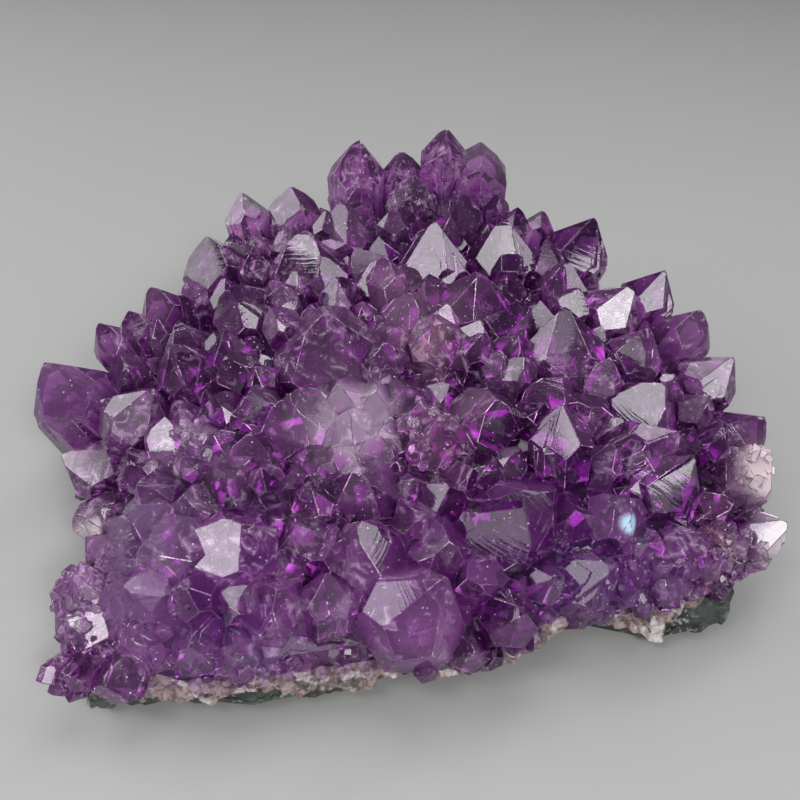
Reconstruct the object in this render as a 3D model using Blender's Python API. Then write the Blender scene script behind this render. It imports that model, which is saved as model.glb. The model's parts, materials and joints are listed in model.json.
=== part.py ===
"""Amethyst cluster: a crust of quartz crystals on a pale quartz layer and a slab of dark rock.

Metres, +Z up.  The rock rests on its flat underside at z = 0.  +X is to the right of the
cluster's front and +Y points to its back.
"""
import math
import random

import bpy
import bmesh
from mathutils import Matrix, Vector

MM = 0.001
SEED = 31

# Plan of the crust: angle from +X (degrees) and radius (mm) about the plan's centre
PLAN_CENTRE = (0.0, 8.0)
PLAN = [(0, 97), (20, 90), (40, 84), (55, 84), (70, 95), (85, 103), (100, 102), (115, 98),
        (135, 92), (150, 86), (165, 85), (180, 90), (195, 87), (207, 88), (216, 102), (224, 112),
        (231, 119), (237, 111), (243, 103), (250, 97), (258, 91), (266, 87), (275, 85), (285, 88),
        (292, 86), (299, 86), (305, 83), (309, 85), (313, 95), (318, 100), (323, 104), (328, 106),
        (335, 105), (343, 101), (352, 100)]

# Heights (mm) of the layers' upper surfaces at the rim, and their rise towards the middle
CRUST_RIM, CRUST_RISE = 17.0, 25.0
QUARTZ_RIM, QUARTZ_RISE = 10.5, 12.0
ROCK_RIM, ROCK_RISE = 5.5, 11.0
BACK_SLOPE = 0.08          # every surface stands higher towards the back, mm per mm
FRONT_EDGE = -80.0         # where that slope starts
GAP = 0.4                  # between one layer and the next
SUNK = 3.0                 # the crust starts this far down in the quartz, then is cut clear
SEAM = 0.000005            # metres: corners closer than this are one
FLAT = math.radians(0.3)   # faces within this of each other are one

# Outlines of the layers, as shares of the plan, and how far the rock draws in at its foot (mm)
CRUST_SHARE, QUARTZ_SHARE, ROCK_SHARE, ROCK_UNDERCUT = 0.96, 0.98, 0.97, 5.0
STEPS_ROUND = {"crust": 30, "quartz": 40, "rock": 40}
STEPS_ACROSS = {"crust": 6, "quartz": 8, "rock": 8}
FIRST_STEP = math.radians(6.0)   # turns the steps so that the front corners fall on one
QUARTZ_LUMPS, ROCK_LUMPS = 1.1, 2.2   # mm
# Where a layer juts out past the rest: angle and half width (degrees), reach (mm)
QUARTZ_JUTS = [(312, 10, 5.0), (340, 12, -5.0)]
ROCK_JUTS = [(233, 12, 2.5), (255, 18, 1.5), (300, 12, -5.0), (320, 22, 9.0), (20, 60, -7.0),
             (90, 60, -7.0), (150, 60, -6.0), (200, 24, -6.0)]

PYRAMID_ANGLE = math.radians(51.8)    # between the c axis and the normal of a pyramid face
ROOT_SHARE = 0.85                     # a crystal's root radius over its full radius
ROOT_DEPTH = 4.0                      # mm that roots run into the crust

# Large crystals: tip x, y, z and radius (mm), lean from upright and the heading it leans
# towards (degrees, 0 = +X, 90 = +Y), turn about its own axis (degrees), and how far the
# three minor pyramid faces stand back, as a share of the radius
LARGE = [
    # front
    (10, -72, 38, 15, 25, 350, 22, 0.0), (29, -54, 42, 13, 30, 320, 48, 0.22),
    (27, -76, 31, 8, 30, 290, 10, 0.1), (36, -50, 42, 13, 30, 330, 20, 0.2),
    (-17, -68, 35, 8, 15, 80, 0, 0.05), (-10, -57, 39, 13, 12, 200, 15, 0.1),
    (-35, -58, 39, 12, 30, 320, 55, 0.2), (-28, -72, 34, 10, 18, 300, 25, 0.1),
    (-47, -82, 27, 8, 40, 265, 0, 0.1), (-37, -82, 25, 7, 35, 280, 10, 0.2),
    (17, -80, 22, 6, 40, 285, 0, 0.1), (-62, -78, 25, 8, 25, 250, 20, 0.15),
    (-76, -75, 27, 7, 30, 215, 0, 0.2), (-78, -83, 22, 7, 35, 225, 10, 0.1),
    (-66, -87, 20, 7, 45, 255, 0, 0.2), (-79, -63, 29, 9, 10, 180, 0, 0.1),
    (-63, -60, 31, 12, 5, 200, 10, 0.3), (-52, -54, 35, 9, 15, 250, 0, 0.1),
    # left
    (-101, 1, 43, 14, 24, 177, 0, 0.2), (-91, -26, 32, 10, 45, 195, 15, 0.1),
    (-67, -14, 45, 11, 28, 355, 20, 0.05), (-82, -12, 40, 8, 25, 200, 0, 0.1),
    (-56, -31, 46, 12, 10, 230, 0, 0.2), (-64, 0, 50, 11, 15, 180, 20, 0.1),
    (-48, 1, 54, 9, 8, 120, 30, 0.05), (-50, 19, 56, 11, 20, 200, 40, 0.15),
    (-38, 24, 56, 8, 15, 180, 10, 0.1), (-65, 14, 48, 8, 15, 160, 0, 0.1),
    (-93, 25, 40, 8, 30, 165, 0, 0.1), (-84, 27, 43, 7, 25, 150, 10, 0.2),
    (-47, -33, 46, 9, 12, 240, 0, 0.1), (-37, -35, 48, 10, 10, 250, 10, 0.2),
    (-84, -40, 26, 8, 45, 215, 0, 0.1), (-79, -50, 20, 6, 50, 195, 0, 0.3),
    # middle
    (-20, -5, 64, 19, 14, 270, 5, 0.1), (-28, -29, 55, 12, 15, 235, 15, 0.2),
    (-10, -46, 46, 12, 20, 255, 0, 0.1), (-22, -48, 43, 7, 20, 250, 0, 0.1),
    (10, -33, 52, 12, 15, 280, 10, 0.2), (24, -28, 54, 11, 22, 290, 0, 0.15),
    (5, -29, 53, 7, 10, 270, 0, 0.1), (10, -2, 59, 10, 18, 265, 20, 0.15),
    (23, 19, 61, 12, 10, 300, 0, 0.1), (27, -8, 54, 6, 10, 0, 0, 0.1),
    (33, -11, 54, 6, 10, 330, 0, 0.2), (45, 3, 60, 14, 8, 120, 30, 0.06),
    (40, -32, 55, 9, 8, 120, 30, 0.0), (-4, -10, 58, 8, 10, 280, 0, 0.1),
    (3, 14, 58, 9, 5, 0, 0, 0.2),
    # right
    (72, -29, 43, 9, 55, 0, 10, 0.1), (74, -37, 42, 12, 25, 345, 20, 0.03),
    (54, -34, 44, 6, 15, 0, 0, 0.1), (75, -54, 32, 9, 25, 330, 0, 0.1),
    (87, -52, 28, 9, 35, 325, 10, 0.2), (99, -45, 27, 8, 40, 340, 0, 0.1),
    (98, -29, 35, 10, 30, 345, 0, 0.3), (50, -62, 30, 10, 25, 310, 0, 0.1),
    (59, -62, 28, 8, 28, 305, 10, 0.2), (69, -61, 28, 7, 28, 310, 20, 0.1),
    (80, -55, 28, 7, 28, 320, 0, 0.1), (71, -14, 47, 13, 18, 340, 0, 0.15),
    (95, 2, 44, 10, 28, 350, 20, 0.03), (102, -13, 34, 10, 40, 350, 10, 0.2),
    (71, 8, 50, 10, 18, 10, 0, 0.1), (57, -6, 50, 9, 10, 0, 15, 0.1),
    (92, 24, 45, 10, 30, 15, 0, 0.15), (69, 25, 53, 11, 28, 350, 20, 0.1),
    (81, 33, 54, 10, 20, 0, 15, 0.05), (57, -47, 38, 10, 18, 330, 0, 0.2),
    # back
    (64, 62, 56, 13, 20, 0, 15, 0.05), (51, 36, 55, 10, 12, 60, 0, 0.1),
    (46, 46, 57, 9, 8, 120, 30, 0.05), (33, 49, 62, 13, 6, 90, 40, 0.08),
    (11, 45, 64, 14, 8, 90, 40, 0.06), (-30, 42, 62, 14, 8, 130, 10, 0.2),
    (-24, 34, 58, 9, 5, 200, 0, 0.1), (-18, 24, 57, 8, 5, 220, 0, 0.1),
    (-24, 60, 60, 6, 10, 100, 0, 0.1), (-18, 61, 62, 13, 8, 100, 15, 0.1),
    (-37, 77, 60, 10, 18, 115, 0, 0.3), (-55, 81, 56, 9, 25, 120, 0, 0.1),
    (-64, 57, 52, 13, 22, 140, 0, 0.2), (-80, 41, 43, 10, 30, 150, 10, 0.1),
    (-15, 97, 68, 12, 8, 90, 40, 0.05), (16, 99, 71, 10, 10, 85, 0, 0.1),
    (29, 98, 67, 12, 15, 75, 15, 0.25), (41, 78, 52, 7, 20, 60, 0, 0.1),
    (50, 79, 50, 7, 30, 55, 10, 0.1), (4, 80, 63, 10, 8, 90, 0, 0.1),
    (20, 74, 60, 10, 10, 70, 10, 0.2), (1, 101, 62, 10, 15, 95, 0, 0.15),
]

# Small crystals between the large ones
SMALL_SPACING, SMALL_RADIUS, SMALL_RISE = 17.0, (4.5, 7.0), (9.0, 15.0)
SMALL_CLEARANCE = 0.9      # they start this share of a large crystal's radius from its axis
RIM_CRYSTALS, RIM_RADIUS, RIM_LEAN = 34, (6.0, 8.5), (28, 58)
RIM_REACH, FRONT_REACH = (0.93, 0.99), 0.04   # share of the plan, more of it towards the back
MINOR = (0.02, 0.3)
SATELLITE_FROM = 11.5      # radius of the large crystals that carry a satellite


def reset_scene():
    for obj in list(bpy.data.objects):
        bpy.data.objects.remove(obj, do_unlink=True)


def collection(name):
    made = bpy.data.collections.new(name)
    bpy.context.scene.collection.children.link(made)
    return made


def material(name, colour, roughness, transmission=0.0, alpha=1.0):
    made = bpy.data.materials.new(name)
    made.use_nodes = True
    shader = made.node_tree.nodes["Principled BSDF"]
    shader.inputs["Base Color"].default_value = (*colour, 1.0)
    shader.inputs["Roughness"].default_value = roughness
    shader.inputs["IOR"].default_value = 1.544
    shader.inputs["Transmission Weight"].default_value = transmission
    shader.inputs["Alpha"].default_value = alpha
    return made


def plan_radius(angle):
    """Radius (mm) of the plan at an angle (radians), straight between the listed points."""
    degrees = math.degrees(angle) % 360.0
    listed = PLAN + [(360 + PLAN[0][0], PLAN[0][1])]
    for (a0, r0), (a1, r1) in zip(listed, listed[1:]):
        if a0 <= degrees <= a1:
            return r0 + (r1 - r0) * (degrees - a0) / (a1 - a0)
    return listed[-1][1]


def share_of_plan(x, y):
    dx, dy = x - PLAN_CENTRE[0], y - PLAN_CENTRE[1]
    return math.hypot(dx, dy) / plan_radius(math.atan2(dy, dx))


def mound(x, y, rim, rise):
    """Height (mm) of a layer's upper surface, falling on past the rim."""
    share = min(share_of_plan(x, y), 1.15)
    return rim + rise * (1.0 - share ** 2) + BACK_SLOPE * (y - FRONT_EDGE)


def crust_height(x, y):
    return mound(x, y, CRUST_RIM, CRUST_RISE)


def quartz_height(x, y):
    return mound(x, y, QUARTZ_RIM, QUARTZ_RISE)


def rock_height(x, y):
    return mound(x, y, ROCK_RIM, ROCK_RISE)


def lumps(angle, up, size):
    """Uneven swelling (mm) of a layer's edge; up runs from its foot (0) to its top (1)."""
    return size * (0.5 * math.sin(7 * angle + 1.3) + 0.4 * math.sin(17 * angle + 3 * up)
                   + 0.35 * math.sin(31 * angle + 2.0 - 4 * up))


def jut(angle, juts):
    """How far (mm) a layer juts out at an angle, each jut a smooth bump."""
    reach = 0.0
    for middle, half, size in juts:
        away = (math.degrees(angle) - middle + 180.0) % 360.0 - 180.0
        if abs(away) < half:
            reach += size * (0.5 + 0.5 * math.cos(math.pi * away / half))
    return reach


def layer(name, kind, shape):
    """A closed slab from a sphere: shape(angle, across, up) gives the place of each vertex.

    across runs from 0 in the middle to 1 at the rim; up is 0 on the underside, 1 on top, and
    0.5 half way up the rim.
    """
    bm = bmesh.new()
    bmesh.ops.create_uvsphere(bm, u_segments=STEPS_ROUND[kind], v_segments=STEPS_ACROSS[kind],
                              radius=1.0)
    rim = math.cos(math.pi / STEPS_ACROSS[kind])
    for vert in bm.verts:
        angle = math.atan2(vert.co.y, vert.co.x) + FIRST_STEP
        across = min(math.hypot(vert.co.x, vert.co.y) / (rim - 1e-4), 1.0)
        up = 0.5 if abs(vert.co.z) < 1e-6 else float(vert.co.z > 0)
        vert.co = Vector(shape(angle, across, up)) * MM
    bmesh.ops.triangulate(bm, faces=bm.faces)
    bmesh.ops.recalc_face_normals(bm, faces=bm.faces)
    mesh = bpy.data.meshes.new(name)
    bm.to_mesh(mesh)
    bm.free()
    return bpy.data.objects.new(name, mesh)


def slab_shape(share, top, bottom, swell, juts, grow=0.0, undercut=0.0):
    """Shape of a slab between two surfaces, with an uneven side at its rim."""
    def shape(angle, across, up):
        reach = plan_radius(angle) * share * across + grow
        if across == 1.0:
            reach += lumps(angle, up, swell) + jut(angle, juts) - undercut * (1 - up)
        x = PLAN_CENTRE[0] + reach * math.cos(angle)
        y = PLAN_CENTRE[1] + reach * math.sin(angle)
        high, low = top(x, y) + grow, bottom(x, y) - grow
        return x, y, low + (high - low) * up
    return shape


def axis_of(lean, heading):
    lean, heading = math.radians(lean), math.radians(heading)
    return Vector((math.sin(lean) * math.cos(heading), math.sin(lean) * math.sin(heading),
                   math.cos(lean)))


def crystal(tip, radius, axis, turn, minor):
    """One quartz crystal: a prism tapering to its root, cut by the six pyramid faces."""
    chance = random.Random(f"{tip.x:.2f} {tip.y:.2f} {radius:.2f}")
    ground = crust_height(tip.x, tip.y)
    length = max((tip.z - ground) / max(axis.z, 0.35), radius * 1.1) + ROOT_DEPTH
    bm = bmesh.new()
    bmesh.ops.create_cone(bm, cap_ends=True, segments=6, radius1=radius * ROOT_SHARE,
                          radius2=radius, depth=length,
                          matrix=Matrix.Translation((0, 0, -length / 2)))
    for face in range(6):
        around = math.radians(60 * face + 30)
        normal = Vector((math.sin(PYRAMID_ANGLE) * math.cos(around),
                         math.sin(PYRAMID_ANGLE) * math.sin(around), math.cos(PYRAMID_ANGLE)))
        setback = radius * (chance.uniform(0.0, 0.08) if face % 2 == 0
                            else minor + chance.uniform(0.0, 0.06))
        geometry = bm.verts[:] + bm.edges[:] + bm.faces[:]
        cut = bmesh.ops.bisect_plane(bm, geom=geometry, dist=1e-6, plane_co=normal * setback,
                                     plane_no=normal, clear_outer=True)
        edges = [e for e in cut["geom_cut"] if isinstance(e, bmesh.types.BMEdge)]
        if edges:
            bmesh.ops.contextual_create(bm, geom=edges)
    top = max(v.co.z for v in bm.verts)
    bmesh.ops.translate(bm, verts=bm.verts, vec=(0, 0, -top))
    place = (Matrix.Translation(tip) @ axis.to_track_quat("Z", "Y").to_matrix().to_4x4()
             @ Matrix.Rotation(math.radians(turn), 4, "Z"))
    bmesh.ops.transform(bm, matrix=Matrix.Scale(MM, 4) @ place, verts=bm.verts)
    bmesh.ops.recalc_face_normals(bm, faces=bm.faces)
    return bm


def satellites(x, y, z, radius, lean, heading, turn, minor, chance):
    """Smaller crystals grown parallel to a large one, low on its flanks."""
    axis = axis_of(lean, heading)
    side = axis.orthogonal().normalized()
    found = []
    if radius > SATELLITE_FROM:
        small = radius * chance.uniform(0.4, 0.6)
        out = Matrix.Rotation(chance.uniform(0, math.tau), 3, axis) @ side
        tip = Vector((x, y, z)) + out * (radius * 0.95) - axis * radius * chance.uniform(1.0, 1.5)
        found.append((tip, small, axis, turn + chance.uniform(-6, 6), minor))
    return found


def small_crystals(chance):
    """Crystals of the druse that fill the ground between the large ones."""
    found = []
    steps = int(120 / SMALL_SPACING)
    for i in range(-steps, steps + 1):
        for j in range(-steps, steps + 1):
            x = (i + chance.uniform(-0.35, 0.35)) * SMALL_SPACING
            y = (j + chance.uniform(-0.35, 0.35)) * SMALL_SPACING + PLAN_CENTRE[1]
            radius, rise = chance.uniform(*SMALL_RADIUS), chance.uniform(*SMALL_RISE)
            lean, wander = chance.uniform(0, 22), chance.uniform(-50, 50)
            share = share_of_plan(x, y)
            near = any(math.hypot(x - c[0], y - c[1]) < c[3] * SMALL_CLEARANCE for c in LARGE)
            if share > 0.93 or near:
                continue
            heading = math.degrees(math.atan2(y - PLAN_CENTRE[1], x - PLAN_CENTRE[0])) + wander
            tip = Vector((x, y, crust_height(x, y) + rise))
            found.append((tip, radius, axis_of(lean + 14 * share, heading), chance.uniform(0, 120),
                          chance.uniform(*MINOR)))
    return found


def rim_crystals(chance):
    """Crystals that lean out over the rim, all the way round."""
    found = []
    for i in range(RIM_CRYSTALS):
        angle = math.tau * (i + chance.uniform(-0.3, 0.3)) / RIM_CRYSTALS
        share = chance.uniform(*RIM_REACH) + FRONT_REACH * math.sin(angle)
        reach = plan_radius(angle) * share
        x = PLAN_CENTRE[0] + reach * math.cos(angle)
        y = PLAN_CENTRE[1] + reach * math.sin(angle)
        tip = Vector((x, y, crust_height(x, y) + chance.uniform(0.0, 9.0)))
        lean = chance.uniform(*RIM_LEAN)
        heading = math.degrees(angle) + chance.uniform(-22, 22)
        found.append((tip, chance.uniform(*RIM_RADIUS), axis_of(lean, heading),
                      chance.uniform(0, 120), chance.uniform(*MINOR)))
    return found


def all_crystals():
    chance = random.Random(SEED)
    found = []
    for x, y, z, radius, lean, heading, turn, minor in LARGE:
        found.append((Vector((x, y, z)), radius, axis_of(lean, heading), turn, minor))
        found.extend(satellites(x, y, z, radius, lean, heading, turn, minor, chance))
    found.extend(rim_crystals(chance))
    found.extend(small_crystals(chance))
    return [crystal(*one) for one in found]


def boolean(obj, operation, operand, collection_operand=False):
    modifier = obj.modifiers.new(operation.title(), "BOOLEAN")
    modifier.operation = operation
    modifier.solver = "EXACT"
    if collection_operand:
        modifier.operand_type = "COLLECTION"
        modifier.collection = operand
    else:
        modifier.object = operand
    return modifier


def apply_modifiers(obj):
    graph = bpy.context.evaluated_depsgraph_get()
    mesh = bpy.data.meshes.new_from_object(obj.evaluated_get(graph))
    obj.modifiers.clear()
    obj.data = mesh


def keep_largest_body(obj):
    """Drops crumbs that a cut has left loose, and makes one face of what lies flat."""
    bm = bmesh.new()
    bm.from_mesh(obj.data)
    bmesh.ops.remove_doubles(bm, verts=bm.verts, dist=SEAM)
    left, bodies = set(bm.verts), []
    while left:
        stack, body = [left.pop()], set()
        while stack:
            vert = stack.pop()
            body.add(vert)
            for edge in vert.link_edges:
                other = edge.other_vert(vert)
                if other in left:
                    left.discard(other)
                    stack.append(other)
        bodies.append(body)
    biggest = max(bodies, key=len)
    bmesh.ops.delete(bm, geom=[v for v in bm.verts if v not in biggest], context="VERTS")
    bmesh.ops.dissolve_limit(bm, angle_limit=FLAT, verts=bm.verts, edges=bm.edges)
    bmesh.ops.triangulate(bm, faces=bm.faces)
    bm.to_mesh(obj.data)
    bm.free()


def centre_on_footprint(objects):
    """Moves every mesh so that the middle of the whole footprint is at the origin."""
    corners = [v.co for obj in objects for v in obj.data.vertices]
    middle = Vector([-(min(c[i] for c in corners) + max(c[i] for c in corners)) / 2
                     for i in (0, 1)] + [0.0])
    for obj in objects:
        obj.data.transform(Matrix.Translation(middle))


def quartz_floor(x, y):
    return rock_height(x, y) + GAP


def crust_floor(x, y):
    """Underside of the crust before the quartz is cleared from it: inside the quartz."""
    return quartz_height(x, y) - SUNK


def crust_slab(name):
    return layer(name, "crust", slab_shape(CRUST_SHARE, crust_height, crust_floor, 0.0, []))


def quartz_slab(name, grow=0.0):
    return layer(name, "quartz", slab_shape(QUARTZ_SHARE, quartz_height, quartz_floor,
                                            QUARTZ_LUMPS, QUARTZ_JUTS, grow))


def rock_slab(name, grow=0.0):
    return layer(name, "rock", slab_shape(ROCK_SHARE, rock_height, lambda x, y: 0.0,
                                          ROCK_LUMPS, ROCK_JUTS, grow, ROCK_UNDERCUT))


def build():
    reset_scene()
    parts, cutters = collection("amethyst_cluster"), collection("cutters")
    crust, quartz = crust_slab("amethyst_crystals"), quartz_slab("quartz_layer")
    rock = rock_slab("rock_matrix")
    clear_of = [quartz_slab("round_the_quartz", GAP), rock_slab("round_the_rock", GAP)]
    for obj in (crust, quartz, rock):
        parts.objects.link(obj)
    for obj in clear_of:
        cutters.objects.link(obj)
    grown = bpy.data.collections.new("grown_crystals")
    cutters.children.link(grown)
    for index, bm in enumerate(all_crystals()):
        mesh = bpy.data.meshes.new(f"crystal_{index}")
        bm.to_mesh(mesh)
        bm.free()
        grown.objects.link(bpy.data.objects.new(mesh.name, mesh))
    for obj in cutters.all_objects:
        obj.hide_render = True
        obj.display_type = "WIRE"
    boolean(crust, "UNION", grown, collection_operand=True)
    for cutter in clear_of:
        boolean(crust, "DIFFERENCE", cutter)
    bpy.context.view_layer.update()
    apply_modifiers(crust)
    keep_largest_body(crust)
    centre_on_footprint((crust, quartz, rock))
    for obj, surface in ((crust, material("amethyst", (0.24, 0.09, 0.33), 0.08, 0.6)),
                         (quartz, material("pale_quartz", (0.62, 0.54, 0.58), 0.35)),
                         (rock, material("dark_rock", (0.07, 0.08, 0.075), 0.9))):
        obj.data.materials.clear()
        obj.data.materials.append(surface)


build()
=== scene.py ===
"""Amethyst cluster: the finished crystals, the quartz they grow from and the rock below.

Metres, +Z up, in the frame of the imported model.
"""
import json
import math

import bmesh
import bpy
import numpy as np
from bpy.props import FloatProperty, FloatVectorProperty, IntProperty, PointerProperty
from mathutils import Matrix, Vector
from mathutils.bvhtree import BVHTree

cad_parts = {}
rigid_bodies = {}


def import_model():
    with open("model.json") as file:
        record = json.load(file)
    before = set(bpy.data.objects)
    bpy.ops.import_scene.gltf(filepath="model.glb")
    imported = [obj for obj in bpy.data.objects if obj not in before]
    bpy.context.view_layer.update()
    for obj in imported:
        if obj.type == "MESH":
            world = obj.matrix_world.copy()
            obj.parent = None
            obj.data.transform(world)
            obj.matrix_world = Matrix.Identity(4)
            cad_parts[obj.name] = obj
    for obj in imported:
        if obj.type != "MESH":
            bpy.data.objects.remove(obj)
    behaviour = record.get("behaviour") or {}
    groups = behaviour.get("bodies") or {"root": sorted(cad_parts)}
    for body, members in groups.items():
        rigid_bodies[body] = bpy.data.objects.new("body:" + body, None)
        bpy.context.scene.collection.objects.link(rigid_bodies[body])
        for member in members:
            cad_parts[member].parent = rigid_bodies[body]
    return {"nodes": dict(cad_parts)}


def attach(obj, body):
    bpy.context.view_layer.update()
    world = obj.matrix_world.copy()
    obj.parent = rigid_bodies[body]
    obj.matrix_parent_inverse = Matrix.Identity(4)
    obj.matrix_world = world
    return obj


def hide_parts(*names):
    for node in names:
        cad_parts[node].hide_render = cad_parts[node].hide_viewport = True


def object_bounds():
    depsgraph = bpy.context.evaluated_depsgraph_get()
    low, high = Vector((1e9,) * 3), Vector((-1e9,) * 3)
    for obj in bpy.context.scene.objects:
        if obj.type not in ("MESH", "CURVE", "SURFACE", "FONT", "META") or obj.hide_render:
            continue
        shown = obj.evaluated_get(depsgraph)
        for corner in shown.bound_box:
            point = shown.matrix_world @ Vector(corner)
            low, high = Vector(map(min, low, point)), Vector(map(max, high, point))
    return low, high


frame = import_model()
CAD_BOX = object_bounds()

bl_info = {
    "name": "Amethyst cluster",
    "version": (1, 0, 0),
    "blender": (4, 5, 0),
    "location": "View3D > Sidebar > Amethyst",
    "description": "Dresses the crystals, the quartz and the rock of an amethyst cluster",
    "category": "Add Mesh",
}

MM = 0.001
TAU = 2 * math.pi
GRID_STEP = 0.001                # metres between the places of the height maps
JOIN = 1e-6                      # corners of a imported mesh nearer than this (m) are one
CRYSTAL_SEED, VEIL_SEED = 11, 23

# The camera looks down at this many degrees from this far (m) at a point this high (m)
EYE_HEIGHT, EYE_DISTANCE, AIM_HEIGHT = 40.0, 0.250, 0.030
LIGHT_DISTANCE = 0.9
FLOOR_REACH = 3.0
WORLD_COLOUR, WORLD_STRENGTH = (0.80, 0.82, 0.86), 0.11

# Quartz: its refractive index, the slope of its end faces from square to the axis, how far
# its minor end faces stand back, as a share of the radius, and by how much more at the least
QUARTZ_IOR = 1.544
PYRAMID_SLOPE = math.tan(math.radians(51.8))
MINOR_BACK, MINOR_LEAST = (0.16, 0.42), 0.02

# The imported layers, in a plan (mm) that the crystals below are placed in too: their middle,
# the heights of the crust and the quartz at the front rim and how much higher their middle
# is, and how steeply all rise behind the front edge
PLAN_MIDDLE = (0.0, 8.0)
CRUST_RIM, CRUST_RISE = 17.0, 25.0
QUARTZ_RIM, QUARTZ_RISE = 10.5, 12.0
FRONT_EDGE, RISE = -80.0, 0.08

# Crystals that carry detail: tip x, y, z, radius (mm), lean and heading (degrees), turn
# (degrees) about its own axis
LARGE = np.array([
    # front
    (10, -72, 38, 15, 25, 350, 22), (29, -54, 42, 13, 30, 320, 48), (27, -76, 31, 8, 30, 290, 10),
    (36, -50, 42, 13, 30, 330, 20), (-17, -68, 35, 8, 15, 80, 0), (-10, -57, 39, 13, 12, 200, 15),
    (-35, -58, 39, 12, 30, 320, 55), (-28, -72, 34, 10, 18, 300, 25), (-47, -82, 27, 8, 40, 265, 0),
    (-37, -82, 25, 7, 35, 280, 10), (-62, -78, 25, 8, 25, 250, 20), (-76, -75, 27, 7, 30, 215, 0),
    (-79, -63, 29, 9, 10, 180, 0), (-63, -60, 31, 12, 5, 200, 10), (-52, -54, 35, 9, 15, 250, 0),
    # left
    (-101, 1, 43, 14, 24, 177, 0), (-91, -26, 32, 10, 45, 195, 15), (-67, -14, 45, 11, 28, 355, 20),
    (-82, -12, 40, 8, 25, 200, 0), (-56, -31, 46, 12, 10, 230, 0), (-64, 0, 50, 11, 15, 180, 20),
    (-48, 1, 54, 9, 8, 120, 30), (-50, 19, 56, 11, 20, 200, 40), (-38, 24, 56, 8, 15, 180, 10),
    (-65, 14, 48, 8, 15, 160, 0), (-93, 25, 40, 8, 30, 165, 0), (-84, 27, 43, 7, 25, 150, 10),
    (-47, -33, 46, 9, 12, 240, 0), (-37, -35, 48, 10, 10, 250, 10), (-84, -40, 26, 8, 45, 215, 0),
    # middle
    (-20, -5, 64, 19, 14, 270, 5), (-28, -29, 55, 12, 15, 235, 15), (-10, -46, 46, 12, 20, 255, 0),
    (-22, -48, 43, 7, 20, 250, 0), (10, -33, 52, 12, 15, 280, 10), (24, -28, 54, 11, 22, 290, 0),
    (5, -29, 53, 7, 10, 270, 0), (10, -2, 59, 10, 18, 265, 20), (23, 19, 61, 12, 10, 300, 0),
    (45, 3, 60, 14, 8, 120, 30), (40, -32, 55, 9, 8, 120, 30), (-4, -10, 58, 8, 10, 280, 0),
    (3, 14, 58, 9, 5, 0, 0),
    # right
    (72, -29, 43, 9, 55, 0, 10), (74, -37, 42, 12, 25, 345, 20), (75, -54, 32, 9, 25, 330, 0),
    (87, -52, 28, 9, 35, 325, 10), (99, -45, 27, 8, 40, 340, 0), (98, -29, 35, 10, 30, 345, 0),
    (50, -62, 30, 10, 25, 310, 0), (59, -62, 28, 8, 28, 305, 10), (71, -14, 47, 13, 18, 340, 0),
    (95, 2, 44, 10, 28, 350, 20), (102, -13, 34, 10, 40, 350, 10), (71, 8, 50, 10, 18, 10, 0),
    (57, -6, 50, 9, 10, 0, 15), (92, 24, 45, 10, 30, 15, 0), (69, 25, 53, 11, 28, 350, 20),
    (81, 33, 54, 10, 20, 0, 15), (57, -47, 38, 10, 18, 330, 0),
    # back
    (64, 62, 56, 13, 20, 0, 15), (51, 36, 55, 10, 12, 60, 0), (46, 46, 57, 9, 8, 120, 30),
    (33, 49, 62, 13, 6, 90, 40), (11, 45, 64, 14, 8, 90, 40), (-30, 42, 62, 14, 8, 130, 10),
    (-24, 34, 58, 9, 5, 200, 0), (-18, 24, 57, 8, 5, 220, 0), (-18, 61, 62, 13, 8, 100, 15),
    (-37, 77, 60, 10, 18, 115, 0), (-55, 81, 56, 9, 25, 120, 0), (-64, 57, 52, 13, 22, 140, 0),
    (-80, 41, 43, 10, 30, 150, 10), (-15, 97, 68, 12, 8, 90, 40), (16, 99, 71, 10, 10, 85, 0),
    (29, 98, 67, 12, 15, 75, 15), (4, 80, 63, 10, 8, 90, 0), (20, 74, 60, 10, 10, 70, 10),
    (1, 101, 62, 10, 15, 95, 0),
], float)

# Places where the violet changes: plan x, y, z and reach (mm), colour, strength
ZONES = [
    ((-12, -28, 48), 10, (0.95, 0.80, 0.95), 0.75),
    ((-62, -60, 27), 14, (0.84, 0.66, 0.92), 0.50),
    ((6, 14, 54), 11, (0.90, 0.58, 0.80), 0.45),
    ((98, -30, 33), 8, (0.84, 0.72, 0.73), 0.95),
    ((99, -46, 25), 6, (0.84, 0.75, 0.79), 0.92),
    ((-82, -47, 19), 6, (0.90, 0.82, 0.82), 0.97),
    ((-2, -80, 27), 12, (0.78, 0.56, 0.82), 0.30),
    ((8, -4, 55), 6, (0.92, 0.52, 0.64), 0.60),
    ((10, -34, 48), 8, (0.56, 0.30, 0.40), 0.35),
    ((52, -63, 24), 13, (0.26, 0.13, 0.48), 0.35),
    ((-40, -83, 20), 10, (0.28, 0.15, 0.50), 0.35),
    ((-98, 0, 32), 14, (0.46, 0.18, 0.54), 0.40),
    ((80, -50, 25), 2.6, (0.50, 0.28, 0.14), 0.55),
    ((-57, -31, 43), 6, (0.86, 0.80, 0.88), 0.55),
    ((29, 98, 64), 8, (0.88, 0.72, 0.90), 0.45),
    ((-50, -38, 40), 9, (0.80, 0.62, 0.84), 0.30),
]

# A painted glint: a pale blue patch painted into the colour where a crack throws a blue glint; its
# middle in the plan (mm) and its colour
GLINT, GLINT_BLUE = (56.5, -51.5, 33.5), (0.50, 0.80, 1.00)

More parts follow.
